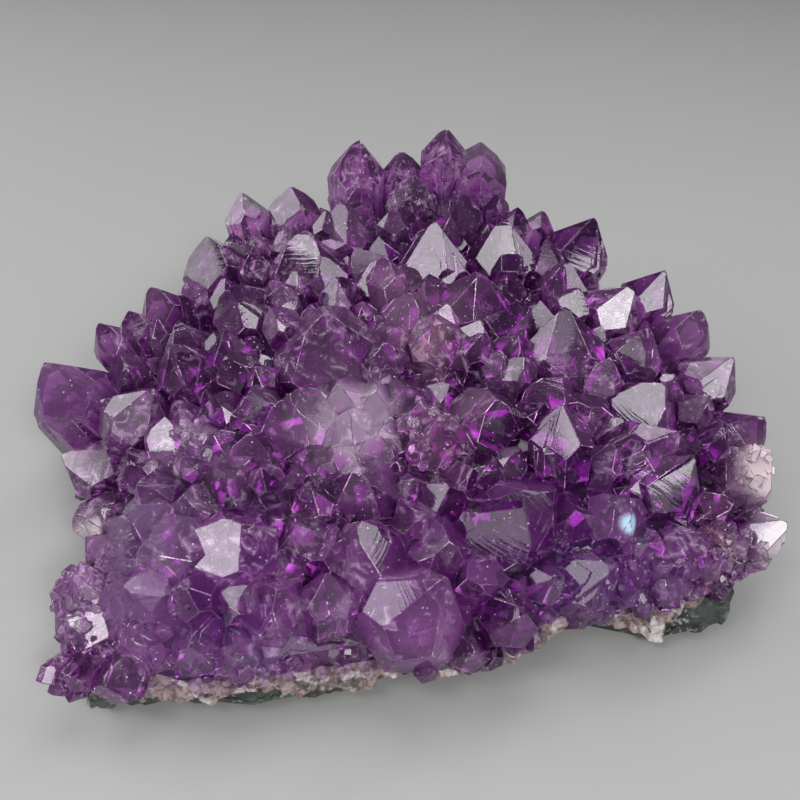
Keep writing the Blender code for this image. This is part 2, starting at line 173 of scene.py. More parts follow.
# The fine grids of the layers: places round, rows down, and how the rows are shared out
# over the corners of the layer's side view; then how fully they take the broken relief
QUARTZ_GRID, ROCK_GRID = (940, 100), (900, 100)
ROW_SHARES, ROW_CORNERS = (0.0, 0.10, 0.22, 0.90, 1.0), (0.0, 2.3, 2.9, 5.05)
RELIEF_ROWS, RELIEF_SHARES = (0.0, 0.08, 0.20, 0.88, 0.91, 1.0), (0, 0.1, 1, 1, 0, 0)
COVERED_ROWS = 0.18              # this share of the quartz's rows lies under the crystals
FOOT_FADE = 0.0015               # the rock's relief fades out over this height (m)

# Relief of the broken sides: height (m), size (m) and seed of waves, chips and crumbs
QUARTZ_RELIEF = (0.0012, 0.009, 3), (0.0034, 0.0040, 5), (0.0014, 0.0018, 9)
ROCK_RELIEF = (0.0016, 0.012, 31), (0.0030, 0.0058, 35), (0.0012, 0.0022, 39)

# Lumps that stand out of the quartz: plan x, y, z, reach, how far out and how far down (mm)
LUMPS = [(64, -62, 8, 3.2, 3.0, 3.0), (-78, -84, 8, 7.0, 2.5, 1.0), (-10, -80, 8, 5.0, 1.5, 1.0),
         (-82, -45, 15, 6.0, 4.0, 0.0), (10, -80, 8, 6.0, 1.8, 0.5), (97, -38, 15, 5.0, 2.0, 1.0),
         (60, 72, 18, 7.0, 2.0, 1.5), (-60, 70, 18, 8.0, 2.0, 1.0), (85, 40, 17, 6.0, 2.0, 1.0)]

# Where the rock is drawn in: plan x, y, z, reach and how far (mm)
HOLLOWS = [(90, -48, 6, 13.0, 4.0)]

# Crystals set by one face: the face's middle x, y, z and the radius (mm), where its normal
# points (degrees round from behind, degrees up) and which way the face falls away from the
# tip (0 to the right, 90 downhill)
FACING = np.array([(-43.5, -62.2, 37.2, 11.0, -169, 60, 0), (-60.5, -31.5, 44.0, 6.5, -175, 56, 90)])

# Crystals that fill bare ground: radius (mm), the bare disc each needs as a share of its
# radius, and how far its tip stands above the ground as a share of its radius
FILL_SIZES = [(8.0, 0.62, 1.25), (6.5, 0.62, 1.25), (5.0, 0.65, 1.3), (3.8, 0.7, 1.3),
              (2.8, 0.8, 1.4), (2.0, 0.9, 1.5), (1.5, 1.0, 1.6)]

# Patches of finer, rougher crystals: plan x, y, reach (mm) and how many
ROUGH_PATCHES = [(-76, -67, 13, 90), (-56, -72, 9, 40), (-56, -33, 9, 50), (96, -30, 9, 40),
                 (84, -50, 9, 40), (10, -33, 8, 25), (-84, -80, 8, 30), (60, -66, 12, 40)]

FLANK_LOWEST = 13.0              # mm above the layers' rise that flank crystals' tips keep
WORN_LEAST, WORN_TURN = 0.0009, 30   # worn edges are longer (m) and turn by more (degrees)
TONE_CELL = 0.006                # m: small crystals in one such cell share a tone
PLANE_STEP, PLANE_TURN = 0.0012, 12  # faces this near (m) and this alike share a chance

# Fixed colours of the small things in the materials
DUST, CHIPPED, HEALED = (0.95, 0.90, 0.92), (0.86, 0.76, 0.84), (0.90, 0.78, 0.95)
DARK_GRAIN, PALE_GRAIN, BROWN_STAIN = (0.055, 0.050, 0.040), (0.36, 0.39, 0.36), (0.11, 0.065, 0.045)

# The lights: azimuth (degrees, 0 = behind the object, 90 = to its right) and elevation,
# width and height (m), radiance, and which way they light the crystals: from all sides,
# only from outside or only from within, as a soft glow
KEY_LIGHT = (154, 41, 0.32, 0.32)
LIGHTS = [
    ("key_core", 154, 41, 0.11, 0.11, 34.0, "outside"),
    ("front", -175, 36, 0.60, 0.20, 1.55, "all"),
    ("front_high", -168, 60, 0.50, 0.16, 2.2, "all"),
    ("front_left", -131, 58, 0.30, 0.20, 7.5, "outside"),
    ("left", -77, 27, 0.75, 0.52, 4.0, "outside"),
    ("top", 0, 76, 0.60, 0.45, 2.9, "all"),
    ("back_right", 36, 50, 0.25, 0.25, 4.5, "outside"),
    ("right", 90, 35, 0.30, 0.30, 4.5, "outside"),
    ("front_low", -176, 6, 0.36, 0.14, 2.2, "all"),
    ("glow_right", 150, 45, 1.1, 0.7, 1.7, "within"),
    ("glow_left", -118, 42, 1.1, 0.7, 2.1, "within"),
    ("glow_back", 20, 60, 0.9, 0.6, 1.2, "within"),
]


def read(items, key, width=1, kind=float):
    """One value of each item of a mesh, or a row of several, as an array."""
    values = np.empty(len(items) * width, kind)
    items.foreach_get(key, values)
    return values.reshape(-1, width) if width > 1 else values


def plan_shift():
    """The move (m) from the plan's origin to the model's: the quartz layer's middle corner,
    the one nearest the middle of its box, less the place the plan gives it."""
    flat = read(frame["nodes"]["quartz_layer"].data.vertices, "co", 3)[:, :2]
    middle = (flat.min(0) + flat.max(0)) / 2
    corner = flat[np.linalg.norm(flat - middle, axis=1).argmin()]
    return np.array([*(corner - np.array(PLAN_MIDDLE) * MM), 0.0])


SHIFT = plan_shift()


def in_model(x, y, z):
    """A place of the plan (mm) in the model's frame (m)."""
    return np.array([x, y, z]) * MM + SHIFT


def rise_at(y):
    """How much higher (m) the layers stand at y (m) than at the front edge."""
    return RISE * (y - SHIFT[1] - FRONT_EDGE * MM)


# ---------------------------------------------------------------- numpy shapes

def lattice(cell, seed):
    """A number from 0 to 1 for each whole-number cell: its coordinates times large odd
    numbers, folded together bit by bit."""
    h = (cell[..., 0] * 374761393 + cell[..., 1] * 668265263 + cell[..., 2] * 2147483647
         + seed * 974634777).astype(np.uint32)
    h = (h ^ (h >> np.uint32(13))) * np.uint32(1274126177)
    h = (h ^ (h >> np.uint32(16))) * np.uint32(2246822519)
    return ((h ^ (h >> np.uint32(15))) & np.uint32(0xFFFFFF)) / float(0xFFFFFF)


def soft_noise(points, size, seed):
    """Noise from -1 to 1 at points: corner values of a lattice of the given size, blended
    with a smooth step along each axis."""
    p = points / size
    base = np.floor(p).astype(np.int64)
    f = p - base
    f = f * f * (3 - 2 * f)
    total = np.zeros(p.shape[:-1])
    for dx in (0, 1):
        for dy in (0, 1):
            for dz in (0, 1):
                weight = (np.where(dx, f[..., 0], 1 - f[..., 0])
                          * np.where(dy, f[..., 1], 1 - f[..., 1])
                          * np.where(dz, f[..., 2], 1 - f[..., 2]))
                total += weight * lattice(base + (dx, dy, dz), seed)
    return total * 2 - 1


def chipped_noise(points, size, seed):
    """Distance from each point to the nearest of one random point per lattice cell, as a
    share of the cell size: flat-sided lumps with creases between them."""
    p = points / size
    base = np.floor(p).astype(np.int64)
    nearest = np.full(p.shape[:-1], 9.0)
    for dx in (-1, 0, 1):
        for dy in (-1, 0, 1):
            for dz in (-1, 0, 1):
                cell = base + (dx, dy, dz)
                spot = cell + np.stack([lattice(cell, seed + k) for k in (1, 2, 3)], -1)
                nearest = np.minimum(nearest, np.linalg.norm(p - spot, axis=-1))
    return nearest


def axes_of(lean, heading):
    """Unit vectors that lean from +Z by one angle (degrees) towards a heading (degrees)."""
    lean, heading = np.radians(lean), np.radians(heading)
    return np.stack([np.sin(lean) * np.cos(heading), np.sin(lean) * np.sin(heading),
                     np.cos(lean)], -1)


def unit(vectors):
    """The vectors, each made one long."""
    return vectors / np.linalg.norm(vectors, axis=-1, keepdims=True)


def side_vectors(axes):
    """Two unit vectors square to each axis, as Blender's Z tracking with Y up gives them."""
    first = np.cross((0.0, 0.0, 1.0), axes)
    first[np.linalg.norm(first, axis=-1) < 1e-6] = (1.0, 0.0, 0.0)
    first = unit(first)
    return first, np.cross(axes, first)


def between(first, second, angle):
    """Vectors turned by angles (radians) from the first towards the second."""
    return np.cos(angle)[:, None] * first + np.sin(angle)[:, None] * second


def frames_of(rows):
    """Tips and radii (m), axes and side vectors of crystals listed as in LARGE."""
    axes = axes_of(rows[:, 4], rows[:, 5])
    return (rows[:, :3] * MM + SHIFT, rows[:, 3] * MM, axes, *side_vectors(axes))


def crystal_points(tips, axes, radii, lengths, turns, rng, uneven=0.11):
    """Corners of many six-sided crystals at once, as an array (crystal, 22, 3) in metres.

    In units of the radius, with z up the axis and t the slope of a pyramid face, three major
    faces follow z = e - t * (distance towards the face) and three minor ones between them
    follow z = c - t * distance, c being larger, so that they only cut the corners off.  The
    sides are flat and parallel to the axis.  Where the faces meet gives, in order: six root
    corners, six shoulders, two lower corners and one upper corner of each minor face, the tip.
    """
    n, t, apothem = len(tips), PYRAMID_SLOPE, math.cos(math.radians(30))
    e = rng.uniform(-uneven, uneven, (n, 3))
    after = np.roll(e, -1, 1)
    c = np.maximum(rng.uniform(*MINOR_BACK, (n, 3)), np.maximum(e, after) + MINOR_LEAST)
    turn = np.radians(turns)[:, None]
    edge = turn + np.arange(6) * TAU / 6
    shoulder_z = np.repeat(e, 2, axis=1) - t * apothem
    ring = np.stack([np.cos(edge), np.sin(edge), shoulder_z], -1)
    depth = (t * apothem + lengths / radii)[:, None, None]
    root = ring * (1, 1, 0) - np.array([0, 0, 1.0]) * depth
    face = turn + math.radians(90) + np.arange(3) * TAU / 3
    out = np.stack([np.cos(face), np.sin(face), face * 0], -1)
    side = np.stack([-np.sin(face), np.cos(face), face * 0], -1)
    low_z = (c - t * apothem)[..., None] * (0, 0, 1)
    half = 0.5 * t * apothem
    before_s = (c - e - half) / (t * apothem)
    after_s = -(c - after - half) / (t * apothem)
    low_before = out * apothem + side * before_s[..., None] + low_z
    low_after = out * apothem + side * after_s[..., None] + low_z
    top = (out * ((2 * c - e - after) / t)[..., None]
           + side * ((after - e) / (2 * t * apothem))[..., None]
           + (e + after - c)[..., None] * (0, 0, 1))
    major = turn + math.radians(30) + np.arange(3) * TAU / 3
    mean = e.mean(1, keepdims=True)
    pull = (e - mean) / t * 2 / 3
    tip = np.stack([(pull * np.cos(major)).sum(1), (pull * np.sin(major)).sum(1), mean[:, 0]], -1)
    local = np.concatenate([root, ring, low_before, low_after, top, tip[:, None]], 1)
    local = (local - tip[:, None]) * radii[:, None, None]
    first, second = side_vectors(axes)
    return (tips[:, None] + local[..., :1] * first[:, None] + local[..., 1:2] * second[:, None]
            + local[..., 2:] * axes[:, None])


def crystal_faces():
    """The corners of each face of a crystal, as crystal_points orders them."""
    faces = [tuple(range(5, -1, -1))]
    for k in range(3):
        i, j, last = 2 * k + 1, (2 * k + 2) % 6, (k + 2) % 3
        faces += [(2 * k, i, 6 + i, 6 + 2 * k), (i, j, 6 + j, 15 + k, 12 + k, 6 + i),
                  (6 + 2 * k, 6 + i, 12 + k, 18 + k, 21, 18 + last, 15 + last),
                  (12 + k, 15 + k, 18 + k)]
    return faces


CRYSTAL_FACES = crystal_faces()


def inside_box(points):
    """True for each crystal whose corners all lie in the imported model's box, a little within
    its sides."""
    low, high = np.array(CAD_BOX[0]) + 0.3 * MM, np.array(CAD_BOX[1]) - 0.3 * MM
    return ((points >= low) & (points <= high)).all(axis=(1, 2))


# ---------------------------------------------------------------- meshes

def new_object(name, points, faces):
    """A new mesh object in the scene, from its corners and faces."""
    mesh = bpy.data.meshes.new(name)
    mesh.from_pydata([tuple(p) for p in points], [], [tuple(f) for f in faces])
    mesh.update()
    obj = bpy.data.objects.new(name, mesh)
    bpy.context.scene.collection.objects.link(obj)
    return obj


def grid_object(name, points):
    """A mesh from an array (rows, columns, 3): rows run from one pole to the other, and each
    pole row is a single point repeated."""
    rows, cols = points.shape[:2]
    body = points[1:-1].reshape(-1, 3)
    verts = np.concatenate([points[:1, 0], body, points[-1:, 0]])
    r, c = np.meshgrid(np.arange(rows - 3), np.arange(cols), indexing="ij")
    nxt = (c + 1) % cols
    quads = np.stack([1 + r * cols + c, 1 + r * cols + nxt, 1 + (r + 1) * cols + nxt,
                      1 + (r + 1) * cols + c], -1).reshape(-1, 4)
    k = np.arange(cols)
    k1 = (k + 1) % cols
    last = len(verts) - 1
    ring = 1 + (rows - 3) * cols
    faces = ([tuple(q) for q in quads.tolist()]
             + [(0, int(b) + 1, int(a) + 1) for a, b in zip(k, k1)]
             + [(last, int(a) + ring, int(b) + ring) for a, b in zip(k, k1)])
    obj = new_object(name, verts, faces)
    bm = bmesh.new()
    bm.from_mesh(obj.data)
    bmesh.ops.recalc_face_normals(bm, faces=bm.faces)
    bm.to_mesh(obj.data)
    bm.free()
    return obj


def join_corners(mesh, distance):
    """Makes one corner of those that lie nearer to each other than a distance."""
    bm = bmesh.new()
    bm.from_mesh(mesh)
    bmesh.ops.remove_doubles(bm, verts=bm.verts, dist=distance)
    bm.to_mesh(mesh)
    bm.free()


def merged_copy(node, name):
    """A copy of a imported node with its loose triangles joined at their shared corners."""
    obj = bpy.data.objects.new(name, frame["nodes"][node].data.copy())
    bpy.context.scene.collection.objects.link(obj)
    obj.data.materials.clear()
    join_corners(obj.data, JOIN)
    return obj


def apply_all(obj):
    """Replaces the object's mesh with what its modifiers make of it."""
    graph = bpy.context.evaluated_depsgraph_get()
    mesh = bpy.data.meshes.new_from_object(obj.evaluated_get(graph))
    obj.modifiers.clear()
    mesh.materials.clear()
    mesh.polygons.foreach_set("material_index", np.zeros(len(mesh.polygons), np.int32))
    old, obj.data = obj.data, mesh
    bpy.data.meshes.remove(old)


def grow_together(obj, crystals):
    """Joins crystals, an array (crystal, 22, 3), to a closed mesh as one solid."""
    grown = bpy.data.collections.new("growing")
    bpy.context.scene.collection.children.link(grown)
    for corners in crystals:
        mesh = bpy.data.meshes.new("growing")
        mesh.from_pydata(corners.tolist(), [], CRYSTAL_FACES)
        grown.objects.link(bpy.data.objects.new("growing", mesh))
    union = obj.modifiers.new("Union", "BOOLEAN")
    union.operation, union.solver = "UNION", "MANIFOLD"
    union.operand_type, union.collection = "COLLECTION", grown
    bpy.context.view_layer.update()
    apply_all(obj)
    for piece in list(grown.objects):
        mesh = piece.data
        bpy.data.objects.remove(piece)
        bpy.data.meshes.remove(mesh)
    bpy.data.collections.remove(grown)


def put_attribute(mesh, name, kind, domain, values):
    """Adds an attribute to a mesh and fills it."""
    layer = mesh.attributes.new(name, kind, domain)
    key = {"FLOAT_VECTOR": "vector", "FLOAT_COLOR": "color"}.get(kind, "value")
    layer.data.foreach_set(key, np.ascontiguousarray(values, np.float32).ravel())


def mark_worn_edges(mesh):
    """Marks for the bevel the edges that stand out, are not very short and turn enough.

    An edge stands out where the step from one face's centre to the other's runs against the
    first face's normal.
    """
    centre, normal = read(mesh.polygons, "center", 3), read(mesh.polygons, "normal", 3)
    totals = read(mesh.polygons, "loop_total", kind=np.int32)
    owner = np.repeat(np.arange(len(totals)), totals)
    edge = read(mesh.loops, "edge_index", kind=np.int32)
    order = np.argsort(edge, kind="stable")
    edge, owner = edge[order], owner[order]
    first = np.flatnonzero(edge[:-1] == edge[1:])
    which, one, two = edge[first], owner[first], owner[first + 1]
    ends = read(mesh.edges, "vertices", 2, np.int32)[which]
    a, b = read(mesh.vertices, "co", 3)[ends].transpose(1, 0, 2)
    out = ((centre[two] - centre[one]) * normal[one]).sum(1) < 0
    turned = (normal[one] * normal[two]).sum(1) < math.cos(math.radians(WORN_TURN))
    worn = np.zeros(len(mesh.edges))
    worn[which[out & turned & (np.linalg.norm(a - b, axis=1) > WORN_LEAST)]] = 1.0
    put_attribute(mesh, "bevel_weight_edge", "FLOAT", "EDGE", worn)


def mark_faces(mesh):
    """Gives each face its crystal's axis, a number of its own and one of its crystal.

    The axis is that of the large crystal whose line passes nearest the face, where one passes
    near enough, and +Z elsewhere.  Faces in one plane share a number: the plane's direction
    and distance, rounded, put through the lattice hash.
    """
    centre, normal = read(mesh.polygons, "center", 3), read(mesh.polygons, "normal", 3)
    tips, radius, axes, _, _ = frames_of(LARGE)
    away = centre[:, None] - tips
    along = (away * axes).sum(-1)
    off = np.linalg.norm(away - along[..., None] * axes, axis=-1) / radius
    off[along > 0.001] = 9.0
    off[along < -0.035] = 9.0
    nearest = off.argmin(1)
    known = off.min(1) < 1.15
    axis = np.where(known[:, None], axes[nearest], (0.0, 0.0, 1.0))
    put_attribute(mesh, "axis", "FLOAT_VECTOR", "FACE", axis)
    grown = np.where(known, nearest * 7, 0)[:, None] * (1, 0, 0)
    tone = np.where(known[:, None], grown, np.floor(centre / TONE_CELL)).astype(np.int64)
    put_attribute(mesh, "tone", "FLOAT", "FACE", lattice(tone, 13))
    height = (normal * centre).sum(1)[:, None]
    plane = np.concatenate([np.round(normal * PLANE_TURN), np.round(height / PLANE_STEP)], 1)
    cell = plane[:, :3].astype(np.int64) + (plane[:, 3:].astype(np.int64) * 31)
    put_attribute(mesh, "chance", "FLOAT", "FACE", lattice(cell, 7))


def mark_zones(mesh):
    """Gives each corner of each face the colour of the zone it lies in, and its strength as
    alpha: full inside the zone's reach and fading to none at twice the reach."""
    co = read(mesh.vertices, "co", 3)
    uneven = 1 + 0.35 * soft_noise(co, 0.011, 51)
    total = np.zeros((len(co), 4))
    for centre, reach, tint, strength in ZONES:
        far = np.linalg.norm(co - in_model(*centre), axis=1) * uneven
        fade = np.clip(2.0 - far / (reach * MM), 0, 1) * strength
        share = fade / np.maximum(total[:, 3] + fade, 1e-9)
        total[:, :3] += (np.array(tint) - total[:, :3]) * share[:, None]
        total[:, 3] = np.maximum(total[:, 3], fade)
    put_attribute(mesh, "zone", "FLOAT_COLOR", "POINT", total)


def mark_openness(mesh, surface):
    """Gives each corner how open it lies to the light, from 0 to 1.

    For twelve directions round a corner, the steepest slope up to the crystals there sets how
    much of the light from there it gets: one less the sine of that slope's angle.  The
    directions that the corner's own normal faces count most.
    """
    # the crystals' material paints shade into its colour by this: darker where less open
    heights, xs, ys = height_map(surface, GRID_STEP)
    co, normal = read(mesh.vertices, "co", 3), read(mesh.vertices, "normal", 3)
    n = len(co)
    lit, weight = np.zeros(n), np.zeros(n)
    for angle in np.arange(12) * TAU / 12:
        toward = np.array([math.cos(angle), math.sin(angle)])
        share = np.clip(normal[:, :2] @ toward + 0.35, 0.0, None)
        steepest = np.zeros(n)
        for reach in (0.0020, 0.0035, 0.0055, 0.0080, 0.0120):
            at = co[:, :2] + toward * reach
            i = np.clip(np.round((at[:, 0] - xs[0]) / GRID_STEP).astype(int), 0, len(xs) - 1)
            j = np.clip(np.round((at[:, 1] - ys[0]) / GRID_STEP).astype(int), 0, len(ys) - 1)
            steepest = np.maximum(steepest, (heights[j, i] - co[:, 2] - 0.0008) / reach)
        lit += share * (1 - steepest / np.sqrt(1 + steepest ** 2))
        weight += share
    put_attribute(mesh, "open", "FLOAT", "POINT", lit / np.maximum(weight, 1e-6))


# ---------------------------------------------------------------- crystals

def growth_steps(rng):
    """Plates that stand a little proud of the large crystals' faces: parallel crystals, each
    moved towards one face and down its own axis, so that only a thin step of it shows."""
    rows = np.repeat(LARGE, 3, axis=0)
    rows = rows[rng.random(len(rows)) < 0.9]
    n = len(rows)
    tips, radius, axes, first, second = frames_of(rows)
    out = between(first, second, np.radians(rows[:, 6] + 60 * rng.integers(0, 6, n) + 30))
    size = rng.uniform(0.35, 0.85, n)
    move = radius * (1 - size) * rng.uniform(0.75, 1.0, n)
    proud = rng.uniform(0.0002, 0.0009, n)
    drop = move * 1.27 - proud / 0.618 + radius * rng.uniform(0.0, 0.05, n)
    tips = tips + out * move[:, None] - axes * drop[:, None]
    return crystal_points(tips, axes, radius * size, radius * 0.8, rows[:, 6], rng, 0.02)


def facing_crystals(rng):
    """Crystals placed by one pyramid face: the axis lies off that face's normal by the slope
    of a pyramid face, away from the way the face falls."""
    middle, radius = FACING[:, :3] * MM + SHIFT, FACING[:, 3] * MM
    round_, up, fall = np.radians(FACING[:, 4:]).T
    normal = np.stack([np.sin(round_) * np.cos(up), np.cos(round_) * np.cos(up), np.sin(up)], -1)
    right = unit((1.0, 0.0, 0.0) - normal[:, :1] * normal)
    falls = between(right, np.cross(right, normal), fall)
    angle = math.atan(PYRAMID_SLOPE)
    axes = normal * math.cos(angle) - falls * math.sin(angle)
    side = normal * math.sin(angle) + falls * math.cos(angle)
    first, second = side_vectors(axes)
    turns = np.degrees(np.arctan2((side * second).sum(1), (side * first).sum(1))) - 30
    tips = middle - falls * (radius * 0.84)[:, None]
    return crystal_points(tips, axes, radius, radius * 0.9, turns, rng, 0.03)


def flank_crystals(rng):
    """Small crystals on the flanks of the large ones, some parallel to them, some askew."""
    rows = np.repeat(LARGE, 5, axis=0)
    n = len(rows)
    tips, radius, axes, first, second = frames_of(rows)
    out = between(first, second, rng.uniform(0, TAU, n))
    low = rng.uniform(1.1, 2.3, n)
    tips = tips + out * (radius * rng.uniform(0.85, 1.1, n))[:, None]
    tips -= axes * (radius * low)[:, None]
    askew = np.where(rng.random(n) < 0.4, 0.05, 0.5)[:, None]
    own = axes + out * askew * rng.uniform(0.3, 1.2, (n, 1)) + rng.normal(0, 0.12, (n, 3)) * askew
    size = np.clip(radius * rng.uniform(0.14, 0.42, n), 0.0011, 0.0045)
    turns = rows[:, 6] + rng.uniform(-4, 4, n) + (askew[:, 0] > 0.1) * rng.uniform(0, 120, n)
    return crystal_points(tips, unit(own), size, size * 2.2, turns, rng)


def height_map(surface, step):
    """Heights where lines dropped on a grid of the given step meet a surface; -1 where they
    meet none.  Returns the heights and the grid's x and y."""
    low, high = np.array(CAD_BOX[0]), np.array(CAD_BOX[1])
    xs, ys = np.arange(low[0], high[0], step), np.arange(low[1], high[1], step)
    down = Vector((0, 0, -1))
    heights = np.full((len(ys), len(xs)), -1.0)
    for j, y in enumerate(ys):
        for i, x in enumerate(xs):
            place = surface.ray_cast(Vector((x, y, 0.2)), down)[0]
            if place is not None:
                heights[j, i] = place.z
    return heights, xs, ys


def bare_ground(crust, quartz, step):
    """Where the crust's own ground shows between its crystals, on a grid.

    The crust's ground stands a known way above the quartz.  How near the middle a place is
    follows from how high the quartz stands there.
    """
    top, xs, ys = height_map(crust, step)
    below = height_map(quartz, step)[0]
    middle_share = np.clip((below - QUARTZ_RIM * MM - rise_at(ys[:, None])) / (QUARTZ_RISE * MM),
                           0, 1)
    thick, thicker = CRUST_RIM - QUARTZ_RIM, CRUST_RISE - QUARTZ_RISE
    ground = below + (thick + thicker * middle_share) * MM
    bare = (below > 0) & (top - ground < 1.2 * MM) & (top - ground > -4.5 * MM)
    return bare, top, xs, ys


def eye():
    """Where the cluster is looked at from: the camera's place (m)."""
    raised = math.radians(EYE_HEIGHT)
    return (Vector((*SHIFT[:2], AIM_HEIGHT))
            + Vector((0, -math.cos(raised), math.sin(raised))) * EYE_DISTANCE)


def stays_clear(corners, ground):
    """True where at most one of a crystal's upper corners stands before a face of a packed
    crystal, as seen from the front."""
    start, hidden = eye(), 0
    for corner in corners[6:]:
        to_corner = Vector(corner) - start
        place = ground["crust"].ray_cast(start, to_corner.normalized())[0]
        if place is None or (place - start).length < to_corner.length + 0.001:
            continue
        i = min(max(int((place.x - ground["xs"][0]) / GRID_STEP), 0), len(ground["xs"]) - 1)
        j = min(max(int((place.y - ground["ys"][0]) / GRID_STEP), 0), len(ground["ys"]) - 1)
        hidden += not ground["was_bare"][j, i]
    return hidden < 2


def fill_crystal(x, y, z, size, height, rng):
    """One crystal on the ground at x, y, z: it leans outwards, more so towards the rim."""
    away = np.array([x - SHIFT[0], y - SHIFT[1] - PLAN_MIDDLE[1] * MM])
    share = min(np.hypot(*away) / 0.095, 1.0)
    heading = math.degrees(math.atan2(away[1], away[0])) + rng.uniform(-60, 60)
    axis = axes_of(rng.uniform(2, 24) + 20 * share, heading)
    radius = size * MM * rng.uniform(0.85, 1.2)
    rise = radius * (height + rng.uniform(-0.25, 0.25))
    tip = np.array([x, y, z + rise]) + axis * (1, 1, 0) * rise * 0.8
    return crystal_points(tip[None], axis[None], np.array([radius]),
                          np.array([radius * 0.6 + 0.004]), rng.uniform(0, 120, 1), rng)[0]


def ground_crystals(crust, quartz, rng):
    """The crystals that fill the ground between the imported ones, largest gaps first.

    For each size, random bare places are taken in turn where a disc of that size is still
    bare and the crystal hides no packed face from the front; its disc is then bare no more.
    """
    bare, top, xs, ys = bare_ground(crust, quartz, GRID_STEP)
    ground = {"crust": crust, "was_bare": bare.copy(), "xs": xs, "ys": ys}
    grown = []
    for size, room, height in FILL_SIZES:
        reach = int(round(size * room * MM / GRID_STEP))
        span = np.arange(-reach, reach + 1)
        disc = (span[:, None] ** 2 + span[None, :] ** 2) <= reach * reach
        spots = np.argwhere(bare[reach:-reach or None, reach:-reach or None]) + reach
        for j, i in spots[rng.permutation(len(spots))]:
            patch = bare[j - reach:j + reach + 1, i - reach:i + reach + 1]
            if patch.shape != disc.shape or patch[disc].mean() < 0.9:
                continue
            one = fill_crystal(xs[i], ys[j], top[j, i], size, height, rng)
            if stays_clear(one, ground):
                patch[disc] = False
                grown.append(one)
    return np.array(grown), ground


def sprouts(places, ways, sizes, stand, length, rng):
    """Small crystals at places, each pointing its way, give or take: radii between two sizes
    (m), tips that stand out by a share of the radius, and the length in radii."""
    n = len(places)
    axes = unit(ways + rng.normal(0, 0.35, (n, 3)))
    size = rng.uniform(*sizes, n)
    tips = places + axes * (size * rng.uniform(*stand, n))[:, None]
    return crystal_points(tips, axes, size, size * length, rng.uniform(0, 120, n), rng)


def patch_crystals(surface, rng):
    """Fine rough growth on the patches: small crystals dropped onto whatever is below, each
    pointing between straight up, the surface's own direction and a random one."""
    found = []
    for x, y, reach, count in ROUGH_PATCHES:
        angle, far = rng.uniform(0, TAU, count), np.sqrt(rng.random(count)) * reach * MM
        spots = np.column_stack([x * MM + far * np.cos(angle), y * MM + far * np.sin(angle)])
        for sx, sy in spots + SHIFT[:2]:
            place, normal, _, _ = surface.ray_cast(Vector((sx, sy, 0.2)), Vector((0, 0, -1)))
            if place is not None:
                found.append((*place, *normal))
    found = np.array(found)
    return sprouts(found[:, :3], found[:, 3:] * 0.6 + (0, 0, 0.5), (0.0008, 0.0024), (0.5, 1.5),
                   1.4, rng)


def rim_crystals(surface, count, rng):
    """Small crystals that point out from the crust's edge, all the way round: from outside,
    at random heights, each is shot level at the middle until it meets the crust."""
    angle = np.arange(count) * TAU / count + rng.uniform(-0.03, 0.03, count)
    height = rng.uniform(0.009, 0.024, count)
    found = []
    for a, h in zip(angle, height):
        out = Vector((math.cos(a), math.sin(a), 0.0))
        start = Vector((SHIFT[0], SHIFT[1] + PLAN_MIDDLE[1] * MM, h + 0.006 * math.sin(a)))
        start += out * 0.2
        place, normal, _, _ = surface.ray_cast(start, -out)
        if place is not None and normal.dot(out) > 0.2:
            found.append((*place, *out))
    found = np.array(found)
    return sprouts(found[:, :3], found[:, 3:] + (0, 0, 0.35), (0.0012, 0.0034), (0.4, 1.3),
                   1.6, rng)


# ---------------------------------------------------------------- materials

